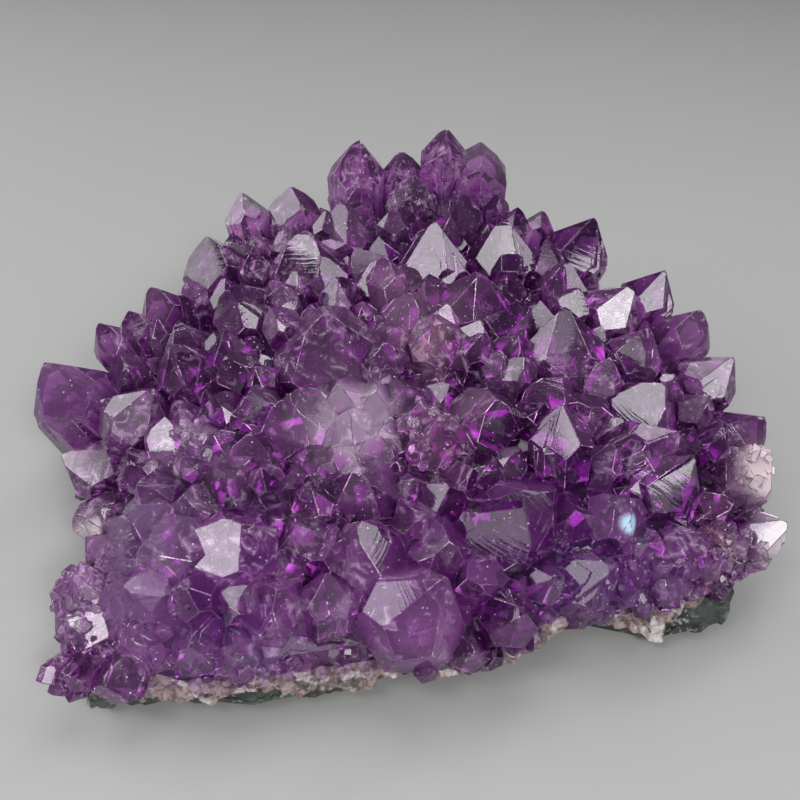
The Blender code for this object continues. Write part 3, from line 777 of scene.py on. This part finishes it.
class Nodes:
    """Short calls for building a material's nodes.  A value given to one is a number, a
    colour or the output of another node."""

    def __init__(self, name):
        self.material = bpy.data.materials.new(name)
        self.material.use_nodes = True
        self.tree = self.material.node_tree
        self.shader = self.tree.nodes["Principled BSDF"]
        self.out = self.tree.nodes["Material Output"]

    def new(self, kind, **settings):
        node = self.tree.nodes.new(kind)
        for key, value in settings.items():
            setattr(node, key, value)
        return node

    def place(self):
        """The place in the piece's own frame, in metres."""
        return self.new("ShaderNodeTexCoord").outputs["Object"]

    def attribute(self, name):
        """The outputs of one of the mesh's attributes."""
        return self.new("ShaderNodeAttribute", attribute_name=name).outputs

    def link(self, source, target):
        self.tree.links.new(source, target)

    def surface(self, socket, value):
        """Gives a socket of the surface shader a plain value or another node's output."""
        self.put(self.shader.inputs[socket], value)

    def put(self, target, value):
        """Links a node's output to a socket, or sets the socket to a plain value."""
        if hasattr(value, "links"):
            self.link(value, target)
        else:
            target.default_value = value

    def math(self, operation, a, b=0.0, c=0.0, clamp=False):
        node = self.new("ShaderNodeMath", operation=operation, use_clamp=clamp)
        for socket, value in zip(node.inputs, (a, b, c)):
            self.put(socket, value)
        return node.outputs[0]

    def measure(self, operation, a, b):
        """A number from two vectors."""
        node = self.new("ShaderNodeVectorMath", operation=operation)
        self.put(node.inputs[0], a)
        self.put(node.inputs[1], b)
        return node.outputs["Value"]

    def noise(self, vector, scale, detail=2.0, roughness=0.5, distortion=0.0):
        """Noise with so many lumps to the metre, and how fine, rough and bent it is."""
        node = self.new("ShaderNodeTexNoise")
        self.put(node.inputs["Vector"], vector)
        self.put(node.inputs["Scale"], scale)
        self.put(node.inputs["Detail"], detail)
        self.put(node.inputs["Roughness"], roughness)
        self.put(node.inputs["Distortion"], distortion)
        return node.outputs["Fac"]

    def span(self, value, low, high, to_low=0.0, to_high=1.0):
        """A smooth step from one value to another, as the input goes from low to high."""
        node = self.new("ShaderNodeMapRange", interpolation_type="SMOOTHSTEP")
        for key, item in (("Value", value), ("From Min", low), ("From Max", high),
                          ("To Min", to_low), ("To Max", to_high)):
            self.put(node.inputs[key], item)
        return node.outputs["Result"]

    def mix(self, factor, a, b):
        """One colour where the factor is 0, the other where it is 1."""
        node = self.new("ShaderNodeMix", data_type="RGBA")
        self.put(node.inputs[0], factor)
        for socket, value in ((node.inputs[6], a), (node.inputs[7], b)):
            self.put(socket, (*value, 1.0) if isinstance(value, tuple) and len(value) == 3
                     else value)
        return node.outputs[2]

    def bump(self, height, distance, strength, normal=None):
        """Relief by shading: its height, the depth (m) of a full step and how strong it is."""
        node = self.new("ShaderNodeBump")
        self.put(node.inputs["Height"], height)
        node.inputs["Distance"].default_value = distance
        node.inputs["Strength"].default_value = strength
        if normal is not None:
            self.link(normal, node.inputs["Normal"])
        return node.outputs[0]


def crystal_material(values):
    """Clear violet quartz: violet in zones and clouds, milky wisps, painted shade deep in the
    gaps, a painted pale blue glint, fine steps across the faces, and light taken up with depth."""
    m = Nodes("amethyst")
    place = m.place()
    chance = m.attribute("chance")["Fac"]
    axis = m.attribute("axis")["Vector"]
    tone = m.attribute("tone")["Fac"]
    zone = m.attribute("zone")
    # colour: each crystal its own tone, clouds and dark cores, milk in wisps, painted shade in the
    # gaps, then the zones, a painted blue glint and dust
    cloud = m.noise(place, 75.0, 4.0, 0.65, 0.8)
    own = m.math("MULTIPLY_ADD", tone, 0.20, m.math("MULTIPLY", chance, 0.26))
    depth = m.span(m.math("ADD", own, cloud), 0.52, 0.90)
    colour = m.mix(depth, tuple(values.deep_violet), tuple(values.violet))
    wisps = m.noise(place, 190.0, 4.0, 0.65, 1.5)
    milk = m.span(m.math("MULTIPLY_ADD", tone, 0.14, wisps), 0.60, 0.80, 0.0, 1.0)
    colour = m.mix(m.math("MULTIPLY", milk, 0.8), colour, tuple(values.lilac))
    # painted shade: where light hardly reaches, deep in the gaps between crystals, the colour turns
    # to a dark gap violet
    open_share = m.span(m.attribute("open")["Fac"], 0.30, 0.85)
    colour = m.mix(open_share, tuple(values.gap_shade_violet), colour)
    colour = m.mix(zone["Alpha"], colour, zone["Color"])
    # painted glint: the colour turns pale blue and less clear round this place, standing in for a
    # blue glint from a crack
    far = m.measure("DISTANCE", place, tuple(in_model(*GLINT)))
    far = m.math("MULTIPLY_ADD", wisps, 0.0022, far)
    glint = m.span(far, 0.0025, 0.0047, 1.0, 0.0)
    colour = m.mix(glint, colour, GLINT_BLUE)
    dust = m.span(m.noise(place, 1900.0, 0.0), 0.80, 0.85, 0.0, 0.9)
    colour = m.mix(dust, colour, DUST)
    m.surface("Base Color", colour)
    haze = m.math("MULTIPLY_ADD", m.math("POWER", zone["Alpha"], 2.0), 0.42,
                  m.math("MULTIPLY", milk, 0.28))
    haze = m.math("MULTIPLY_ADD", m.math("POWER", zone["Alpha"], 8.0), 0.35, haze)
    haze = m.math("MULTIPLY_ADD", glint, 0.75, haze)
    haze = m.math("MAXIMUM", m.math("MULTIPLY", dust, 0.8), haze)
    haze = m.math("MULTIPLY_ADD", chance, 0.05, haze)
    m.surface("Transmission Weight", m.math("SUBTRACT", values.clearness, haze, clamp=True))
    # finish: each face its own gloss, with dull dust and etched spots
    gloss = m.math("MULTIPLY_ADD", m.math("POWER", chance, 3.0), 0.12, 0.04)
    m.surface("Roughness", m.math("ADD", gloss, m.span(wisps, 0.60, 0.78, 0.0, 0.16)))
    # growth steps: lines at uneven heights along the crystal's own axis, on uneven faces
    bent = m.noise(place, 60.0, 1.0, 0.5)
    height = m.measure("DOT_PRODUCT", place, axis)
    line = m.new("ShaderNodeCombineXYZ")
    m.link(m.math("MULTIPLY_ADD", bent, 0.004, height), line.inputs["Z"])
    m.link(m.math("MULTIPLY", chance, 3.0), line.inputs["X"])
    steps = m.noise(line.outputs[0], 900.0, 2.0, 0.6)
    uneven = m.math("MULTIPLY", bent, m.span(chance, 0.55, 0.95, 1.0, 8.0))
    normal = m.bump(m.math("ADD", steps, uneven), values.step_depth, 0.5)
    m.surface("Normal", normal)
    m.surface("IOR", QUARTZ_IOR)
    taken = m.new("ShaderNodeVolumeAbsorption")
    taken.inputs["Color"].default_value = (*values.depth_colour, 1.0)
    taken.inputs["Density"].default_value = values.depth_density
    m.link(taken.outputs[0], m.out.inputs["Volume"])
    return m.material


def worn_material(values):
    """The crystals' worn edges: the same quartz, whitened and dulled where it is chipped."""
    m = Nodes("worn_edge")
    place = m.place()
    chipped = m.span(m.noise(place, 330.0, 2.0, 0.7), 0.56, 0.70)
    colour = m.mix(chipped, tuple(values.violet), CHIPPED)
    m.surface("Base Color", colour)
    m.surface("Transmission Weight", m.span(chipped, 0.0, 1.0, 0.95, 0.45))
    m.surface("Roughness", m.span(chipped, 0.0, 1.0, 0.08, 0.35))
    m.surface("IOR", QUARTZ_IOR)
    return m.material


def veil_material():
    """Healed cracks and bubbles inside the crystals: broken white film, clear at its edge."""
    m = Nodes("veil")
    place = m.place()
    edge = m.attribute("cover")["Fac"]
    torn = m.span(m.noise(place, 420.0, 5.0, 0.75, 1.0), 0.46, 0.62)
    fine = m.span(m.noise(place, 1500.0, 2.0, 0.6), 0.40, 0.60, 0.35, 1.0)
    cover = m.math("MULTIPLY", m.math("MULTIPLY", torn, fine), edge, clamp=True)
    m.surface("Alpha", m.math("MULTIPLY", cover, 0.7))
    m.surface("Base Color", (*HEALED, 1.0))
    m.surface("Roughness", 0.35)
    return m.material


def quartz_material(values):
    """Pale quartz: beige, mottled with dark and white grains, violet where it meets the
    crystals and under them, where the violet is partly painted shade from the crust above."""
    m = Nodes("pale_quartz")
    place = m.place()
    grain = m.noise(place, 380.0, 4.0, 0.7, 0.4)
    broad = m.noise(place, 120.0, 3.0, 0.65)
    colour = m.mix(m.span(grain, 0.36, 0.62), tuple(values.quartz_stain), tuple(values.quartz))
    colour = m.mix(m.span(broad, 0.52, 0.60, 0.0, 0.9), colour, tuple(values.quartz_white))
    dark = m.span(m.noise(place, 210.0, 3.0, 0.65), 0.54, 0.62, 0.0, 0.9)
    colour = m.mix(dark, colour, DARK_GRAIN)
    parts = m.new("ShaderNodeSeparateXYZ")
    m.link(place, parts.inputs[0])
    level = m.math("MULTIPLY_ADD", parts.outputs["Y"], -RISE, parts.outputs["Z"])
    level = m.math("MULTIPLY_ADD", grain, 0.006, level)
    colour = m.mix(m.span(level, 0.0195, 0.0245, 0.0, 0.85), colour, tuple(values.quartz_violet))
    # under the crystals: the violet of their base, partly darkened as painted shade where the crust
    # covers the quartz
    covered = m.attribute("covered")["Fac"]
    colour = m.mix(covered, colour, tuple(values.covered_violet_and_shade))
    m.surface("Base Color", colour)
    m.surface("Roughness", m.span(grain, 0.3, 0.7, 0.25, 0.6))
    normal = m.bump(grain, 0.0012, 0.7)
    normal = m.bump(m.noise(place, 900.0, 3.0, 0.6), 0.0003, 0.6, normal)
    m.surface("Normal", normal)
    m.surface("IOR", QUARTZ_IOR)
    m.surface("Transmission Weight", 0.12)
    return m.material


def rock_material(values):
    """Dark rock: green-grey and grainy, with pale grains and brown stains."""
    m = Nodes("dark_rock")
    place = m.place()
    broad = m.noise(place, 70.0, 4.0, 0.6)
    colour = m.mix(m.span(broad, 0.35, 0.65), tuple(values.rock), tuple(values.rock_light))
    fine = m.noise(place, 620.0, 3.0, 0.65)
    where = m.span(m.noise(place, 130.0, 2.0), 0.40, 0.62)
    pale = m.math("MULTIPLY", m.span(fine, 0.52, 0.62, 0.0, 0.85), where)
    colour = m.mix(pale, colour, PALE_GRAIN)
    stain = m.span(m.noise(place, 95.0, 3.0, 0.6), 0.58, 0.70, 0.0, 0.6)
    colour = m.mix(stain, colour, BROWN_STAIN)
    m.surface("Base Color", colour)
    m.surface("Roughness", m.span(pale, 0.0, 0.7, 0.8, 0.35))
    normal = m.bump(m.noise(place, 320.0, 5.0, 0.75), 0.0014, 0.9)
    m.surface("Normal", normal)
    return m.material


# ---------------------------------------------------------------- layers

def rings_of(node, middle):
    """Rings of a packed layer, from its top's middle round the rim to its foot's middle.

    The layer's corners stand at the same angles in every ring.  At each angle the three
    farthest corners are the rim, taken from above to below.  The inner ones, taken by distance,
    are pairs, one on top and one below, or only tops where the foot is one flat face.  Returns
    an array (rings, angles, 3) and the two middle points.
    """
    co = read(frame["nodes"][node].data.vertices, "co", 3)
    co = np.unique(np.round(co, 6), axis=0)
    far = np.linalg.norm(co[:, :2] - middle, axis=1)
    poles, co, far = co[far < 1e-3], co[far >= 1e-3], far[far >= 1e-3]
    angle = np.degrees(np.arctan2(co[:, 1] - middle[1], co[:, 0] - middle[0])) % 360
    sector = np.round(angle).astype(int) % 360
    rows = []
    for step in np.unique(sector):
        mine = np.flatnonzero(sector == step)
        mine = mine[np.argsort(far[mine])]
        inner, rim = mine[:-3], sorted(mine[-3:], key=lambda i: -co[i, 2])
        if len(inner) == 4:
            pairs = [sorted(pair, key=lambda i: -co[i, 2]) for pair in inner.reshape(2, 2)]
            row = [p[0] for p in pairs] + rim + [p[1] for p in pairs[::-1]]
        elif len(inner) == 2:
            row = list(inner) + rim
        else:
            raise RuntimeError(f"{node} has {len(mine)} corners at {step} degrees")
        rows.append(co[row])
    top = poles[poles[:, 2].argmax()]
    foot = poles[poles[:, 2].argmin()] if len(poles) > 1 else np.array([*top[:2], 0.0])
    return np.array(rows).transpose(1, 0, 2), top, foot


def layer_points(node, around, down):
    """A fine grid over a packed layer: its rings joined by straight lines, sampled evenly
    round the layer, and from top to foot most closely down the broken side."""
    rings, top, foot = rings_of(node, SHIFT[:2] + np.array(PLAN_MIDDLE) * MM)
    n = rings.shape[1]
    path = np.concatenate([np.tile(top, (1, n, 1)), rings, np.tile(foot, (1, n, 1))])
    fine = np.linspace(0, n, around, endpoint=False)
    i0 = np.floor(fine).astype(int) % n
    f = (fine - np.floor(fine))[None, :, None]
    path = path[:, i0] * (1 - f) + path[:, (i0 + 1) % n] * f
    last = len(path) - 1
    want = np.interp(np.linspace(0, 1, down), ROW_SHARES, (*ROW_CORNERS, last))
    j = np.minimum(want.astype(int), last - 1)
    g = (want - j)[:, None, None]
    return path[j] * (1 - g) + path[j + 1] * g


def grid_normals(points):
    """Unit normals of a grid: the cross product of the steps round it and down it."""
    rounds = np.roll(points, -1, 1) - np.roll(points, 1, 1)
    downs = np.gradient(points, axis=0)
    normal = np.cross(rounds, downs)
    size = np.linalg.norm(normal, axis=-1, keepdims=True)
    normal = normal / np.where(size < 1e-12, 1.0, size)
    centre = points.reshape(-1, 3).mean(0)
    if ((points - centre) * normal).sum() < 0:
        normal = -normal
    return normal


def side_share(points):
    """How fully each row of a layer's grid takes its relief: not on the covered top and the
    foot, fully down the side."""
    return np.interp(np.linspace(0, 1, len(points)), RELIEF_ROWS, RELIEF_SHARES)[:, None]


def broken_relief(points, waves, chips, crumbs):
    """How far (m) each point of a broken side stands out: soft waves, with flat-sided chips
    and finer crumbs on them."""
    height, size, seed = waves
    lift = height * soft_noise(points, size, seed)
    for height, size, seed in (chips, crumbs):
        lift = lift + height * (0.5 - chipped_noise(points, size, seed))
    return lift * side_share(points)


def nearness(points, x, y, z, reach):
    """How near each point is to a place of the plan, from 0 to 1: a bell of that reach (mm)."""
    far = np.linalg.norm(points - in_model(x, y, z), axis=-1)
    return np.exp(-(far / (reach * MM)) ** 2)[..., None]


def keep_in_box(points):
    """The points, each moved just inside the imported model's box where it is outside."""
    return np.clip(points, np.array(CAD_BOX[0]) + 1e-5, np.array(CAD_BOX[1]) - 1e-5)


# ---------------------------------------------------------------- settings

class CrystalSettings(bpy.types.PropertyGroup):
    rim_count: IntProperty(name="Rim crystals", default=560,
                           description="Small crystals round the crust's edge")
    bevel: FloatProperty(name="Edge wear", default=0.00012, unit="LENGTH",
                         description="Width of the worn edge of each crystal")
    step_depth: FloatProperty(name="Step depth", default=0.00005, unit="LENGTH",
                              description="Depth of the growth lines")
    violet: FloatVectorProperty(name="Violet", subtype="COLOR", default=(0.70, 0.34, 0.73),
                                description="Colour of most of the quartz")
    deep_violet: FloatVectorProperty(name="Deep violet", subtype="COLOR",
                                     default=(0.30, 0.068, 0.37),
                                     description="Colour where the violet gathers")
    # painted shade: the dark violet painted deep in the gaps between crystals, where little light
    # reaches
    gap_shade_violet: FloatVectorProperty(name="Gaps", subtype="COLOR",
                                    default=(0.17, 0.045, 0.21),
                                    description="Colour deep in the gaps between crystals")
    lilac: FloatVectorProperty(name="Lilac", subtype="COLOR", default=(0.84, 0.62, 0.86),
                               description="Colour of the wisps")
    clearness: FloatProperty(name="Clearness", default=0.95, subtype="FACTOR",
                             description="Share of the light that passes into the crystal")
    depth_colour: FloatVectorProperty(name="Depth colour", subtype="COLOR",
                                      default=(0.70, 0.23, 0.725),
                                      description="Colour that deep quartz takes on")
    depth_density: FloatProperty(name="Depth density", default=60,
                                 description="How fast light is taken up, per metre")


class BaseSettings(bpy.types.PropertyGroup):
    quartz: FloatVectorProperty(name="Quartz", subtype="COLOR", default=(0.44, 0.33, 0.33),
                                description="Colour of the pale quartz")
    quartz_stain: FloatVectorProperty(name="Stain", subtype="COLOR",
                                      default=(0.17, 0.115, 0.11),
                                      description="Colour of its stained grains")
    quartz_white: FloatVectorProperty(name="White grains", subtype="COLOR",
                                      default=(0.72, 0.66, 0.66),
                                      description="Colour of its whitest patches")
    quartz_violet: FloatVectorProperty(name="Violet quartz", subtype="COLOR",
                                       default=(0.30, 0.14, 0.34),
                                       description="Its colour next to the crystals")
    # under the crystals: violet, and partly painted shade where the crust covers the quartz
    covered_violet_and_shade: FloatVectorProperty(name="Covered quartz", subtype="COLOR",
                                        default=(0.42, 0.20, 0.46),
                                        description="Its colour under the crystals")
    rock: FloatVectorProperty(name="Rock", subtype="COLOR", default=(0.030, 0.037, 0.033),
                              description="Colour of the dark rock")
    rock_light: FloatVectorProperty(name="Rock, lighter", subtype="COLOR",
                                    default=(0.085, 0.105, 0.090),
                                    description="Colour of its lighter parts")


class StageSettings(bpy.types.PropertyGroup):
    floor: FloatVectorProperty(name="Floor", subtype="COLOR", default=(0.36, 0.36, 0.355),
                               description="Colour of the floor")
    key_radiance: FloatProperty(name="Key light", default=8.0,
                                description="Radiance of the light behind the camera")
    view_lens: FloatProperty(name="Lens", default=38.25,
                             description="Focal length in mm on a 36 mm sensor")


# ---------------------------------------------------------------- operators

class CLUSTER_OT_crystals(bpy.types.Operator):
    """Makes the crystals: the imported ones, with growth steps, flank crystals and druse"""
    bl_idname = "cluster.crystals"
    bl_label = "Crystals"

    def execute(self, context):
        values = context.scene.cluster_crystals
        rng = np.random.default_rng(CRYSTAL_SEED)
        obj = merged_copy("amethyst_crystals", "crystals")
        graph = context.evaluated_depsgraph_get()
        surface = BVHTree.FromObject(obj, graph)
        quartz = BVHTree.FromObject(frame["nodes"]["quartz_layer"], graph)
        fill, ground = ground_crystals(surface, quartz, rng)
        flank = np.array([c for c in flank_crystals(rng) if stays_clear(c, ground)])
        lowest = FLANK_LOWEST * MM + rise_at(flank[:, -1, 1])
        flank = flank[flank[:, -1, 2] > lowest]
        grown = np.concatenate([
            growth_steps(rng), fill, flank, patch_crystals(surface, rng),
            rim_crystals(surface, values.rim_count, rng), facing_crystals(rng)])
        grown = grown[inside_box(grown)]
        grow_together(obj, grown)
        mark_faces(obj.data)
        mark_zones(obj.data)
        mark_worn_edges(obj.data)
        mark_openness(obj.data, BVHTree.FromObject(obj, context.evaluated_depsgraph_get()))
        obj.modifiers.new("Triangles", "TRIANGULATE")
        wear = obj.modifiers.new("Wear", "BEVEL")
        wear.width, wear.segments = values.bevel, 1
        wear.limit_method = "WEIGHT"
        wear.use_clamp_overlap = False
        wear.material = 1
        obj.data.materials.append(crystal_material(values))
        obj.data.materials.append(worn_material(values))
        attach(obj, "root")
        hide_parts("amethyst_crystals")
        return {"FINISHED"}


class CLUSTER_OT_veils(bpy.types.Operator):
    """Makes the veils: crumpled sheets inside the large crystals"""
    bl_idname = "cluster.veils"
    bl_label = "Veils"

    def execute(self, context):
        rng = np.random.default_rng(VEIL_SEED)
        rows = np.repeat(LARGE, 2, axis=0)
        rows = rows[rng.random(len(rows)) < 0.75]
        n = len(rows)
        tips, radius, axes, first, second = frames_of(rows)
        down = rng.uniform(0.75, 1.9, n)
        off = rng.uniform(-0.25, 0.25, (n, 2)) * radius[:, None]
        centre = (tips - axes * (radius * down)[:, None] + first * off[:, :1]
                  + second * off[:, 1:])
        facing = unit(rng.normal(0, 1, (n, 3)) + axes * 0.8)
        across, along = side_vectors(facing)
        rings, around = 7, 28
        t = np.linspace(0, 1, rings)[None, :, None]
        a = np.linspace(0, TAU, around, endpoint=False)[None, None, :]
        seed = rng.uniform(0, TAU, (n, 4))[:, :, None, None]
        reach = (0.34 + 0.10 * np.sin(2 * a + seed[:, 0]) + 0.06 * np.sin(5 * a + seed[:, 1]))
        reach = reach * (radius * np.minimum(down, 1.1))[:, None, None]
        u, v = reach * t * np.cos(a), reach * t * np.sin(a)
        lift = radius[:, None, None] * 0.07 * (np.sin(9 * t + seed[:, 2])
                                               + np.sin(3 * a + seed[:, 3]) * t)
        sheet = (centre[:, None, None] + u[..., None] * across[:, None, None]
                 + v[..., None] * along[:, None, None] + lift[..., None] * facing[:, None, None])
        s, r, c = np.meshgrid(np.arange(n), np.arange(rings - 1), np.arange(around),
                              indexing="ij")
        corner = s * rings * around + r * around
        nxt = (c + 1) % around
        quads = np.stack([corner + c, corner + around + c, corner + around + nxt, corner + nxt],
                         -1).reshape(-1, 4)
        obj = new_object("veils", sheet.reshape(-1, 3), quads)
        put_attribute(obj.data, "cover", "FLOAT", "POINT",
                      np.broadcast_to(1 - t ** 2, sheet.shape[:3]))
        join_corners(obj.data, 0.1 * JOIN)
        obj.data.materials.append(veil_material())
        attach(obj, "root")
        return {"FINISHED"}


class CLUSTER_OT_quartz(bpy.types.Operator):
    """Makes the pale quartz that the crystals grow from, broken and lumpy at its edge"""
    bl_idname = "cluster.quartz"
    bl_label = "Quartz layer"

    def execute(self, context):
        points = layer_points("quartz_layer", *QUARTZ_GRID)
        normal = grid_normals(points)
        moved = points + normal * broken_relief(points, *QUARTZ_RELIEF)[..., None]
        for x, y, z, reach, out, down in LUMPS:
            push = normal * (1, 1, 0) * out - np.array([0, 0, down])
            moved += push * nearness(points, x, y, z, reach) * MM
        obj = grid_object("quartz", keep_in_box(moved))
        top = np.linspace(0, 1, len(points))[1:-1, None] < COVERED_ROWS
        covered = np.broadcast_to(top, (len(points) - 2, points.shape[1])).ravel()
        put_attribute(obj.data, "covered", "FLOAT", "POINT",
                      np.concatenate([[1.0], covered.astype(float), [0.0]]))
        obj.data.materials.append(quartz_material(context.scene.cluster_base))
        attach(obj, "root")
        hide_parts("quartz_layer")
        return {"FINISHED"}


class CLUSTER_OT_rock(bpy.types.Operator):
    """Makes the rough dark rock, flat where it rests"""
    bl_idname = "cluster.rock"
    bl_label = "Rock"

    def execute(self, context):
        points = layer_points("rock_matrix", *ROCK_GRID)
        normal = grid_normals(points)
        above = np.clip(points[..., 2] / FOOT_FADE, 0, 1)
        moved = points + normal * (broken_relief(points, *ROCK_RELIEF) * above)[..., None]
        for x, y, z, reach, inward in HOLLOWS:
            moved -= normal * (1, 1, 0) * inward * MM * nearness(points, x, y, z, reach)
        obj = grid_object("rock", keep_in_box(moved))
        obj.data.materials.append(rock_material(context.scene.cluster_base))
        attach(obj, "root")
        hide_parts("rock_matrix")
        return {"FINISHED"}


def aimed_object(name, data, place, target):
    """A camera or a light at a place, turned to a target."""
    obj = bpy.data.objects.new(name, data)
    obj.location = place
    obj.rotation_euler = (Vector(target) - Vector(place)).to_track_quat("-Z", "Y").to_euler()
    bpy.context.scene.collection.objects.link(obj)
    return obj


def from_direction(azimuth, elevation, distance):
    """A place at an azimuth (degrees, 0 = behind the object, 90 = to its right)."""
    a, e = math.radians(azimuth), math.radians(elevation)
    return (distance * math.sin(a) * math.cos(e), distance * math.cos(a) * math.cos(e),
            distance * math.sin(e))


class CLUSTER_OT_stage(bpy.types.Operator):
    """Makes the floor, the soft lights and the camera"""
    bl_idname = "cluster.stage"
    bl_label = "Stage"

    def execute(self, context):
        values = context.scene.cluster_stage
        corners = [(-1, -1, 0), (1, -1, 0), (1, 1, 0), (-1, 1, 0)]
        floor = new_object("floor", np.array(corners) * FLOOR_REACH, [(0, 1, 2, 3)])
        m = Nodes("floor")
        m.surface("Base Color", (*values.floor, 1.0))
        m.surface("Roughness", 0.6)
        floor.data.materials.append(m.material)
        world = bpy.data.worlds.new("studio")
        world.use_nodes = True
        background = world.node_tree.nodes["Background"]
        background.inputs["Color"].default_value = (*WORLD_COLOUR, 1.0)
        background.inputs["Strength"].default_value = WORLD_STRENGTH
        context.scene.world = world
        target = (SHIFT[0], SHIFT[1], AIM_HEIGHT)
        for name, azimuth, elevation, width, height, radiance, lit in (
                ("key", *KEY_LIGHT, values.key_radiance, "outside"), *LIGHTS):
            light = bpy.data.lights.new(name, "AREA")
            light.shape, light.size, light.size_y = "RECTANGLE", width, height
            light.energy = math.pi * width * height * radiance
            place = from_direction(azimuth, elevation, LIGHT_DISTANCE)
            obj = aimed_object(name, light, place, target)
            obj.visible_glossy = obj.visible_diffuse = lit != "within"
            obj.visible_transmission = lit != "outside"
        camera = bpy.data.cameras.new("camera")
        camera.lens, camera.sensor_width = values.view_lens, 36.0
        camera.clip_start = 0.01
        context.scene.camera = aimed_object("camera", camera, eye(), target)
        context.scene.view_settings.view_transform = "Standard"
        return {"FINISHED"}


class CLUSTER_PT_panel(bpy.types.Panel):
    """Lists the pieces of the cluster"""
    bl_label = "Amethyst cluster"
    bl_idname = "CLUSTER_PT_panel"
    bl_space_type = "VIEW_3D"
    bl_region_type = "UI"
    bl_category = "Amethyst"

    def draw(self, context):
        for group in SETTINGS:
            box = self.layout.box()
            settings = getattr(context.scene, group)
            for key in settings.bl_rna.properties.keys():
                if key not in ("rna_type", "name"):
                    box.prop(settings, key)
        for operator in OPERATORS:
            self.layout.operator(operator.bl_idname)


SETTINGS = {"cluster_crystals": CrystalSettings, "cluster_base": BaseSettings,
            "cluster_stage": StageSettings}
OPERATORS = (CLUSTER_OT_crystals, CLUSTER_OT_veils, CLUSTER_OT_quartz, CLUSTER_OT_rock,
             CLUSTER_OT_stage)


def register():
    for key, group in SETTINGS.items():
        bpy.utils.register_class(group)
        setattr(bpy.types.Scene, key, PointerProperty(type=group))
    for cls in (*OPERATORS, CLUSTER_PT_panel):
        bpy.utils.register_class(cls)


def unregister():
    for cls in (CLUSTER_PT_panel, *reversed(OPERATORS)):
        bpy.utils.unregister_class(cls)
    for key, group in SETTINGS.items():
        delattr(bpy.types.Scene, key)
        bpy.utils.unregister_class(group)


def main():
    register()
    for operator in OPERATORS:
        getattr(bpy.ops.cluster, operator.bl_idname.split(".")[1])()
    bpy.context.view_layer.update()


if __name__ == "__main__":
    main()
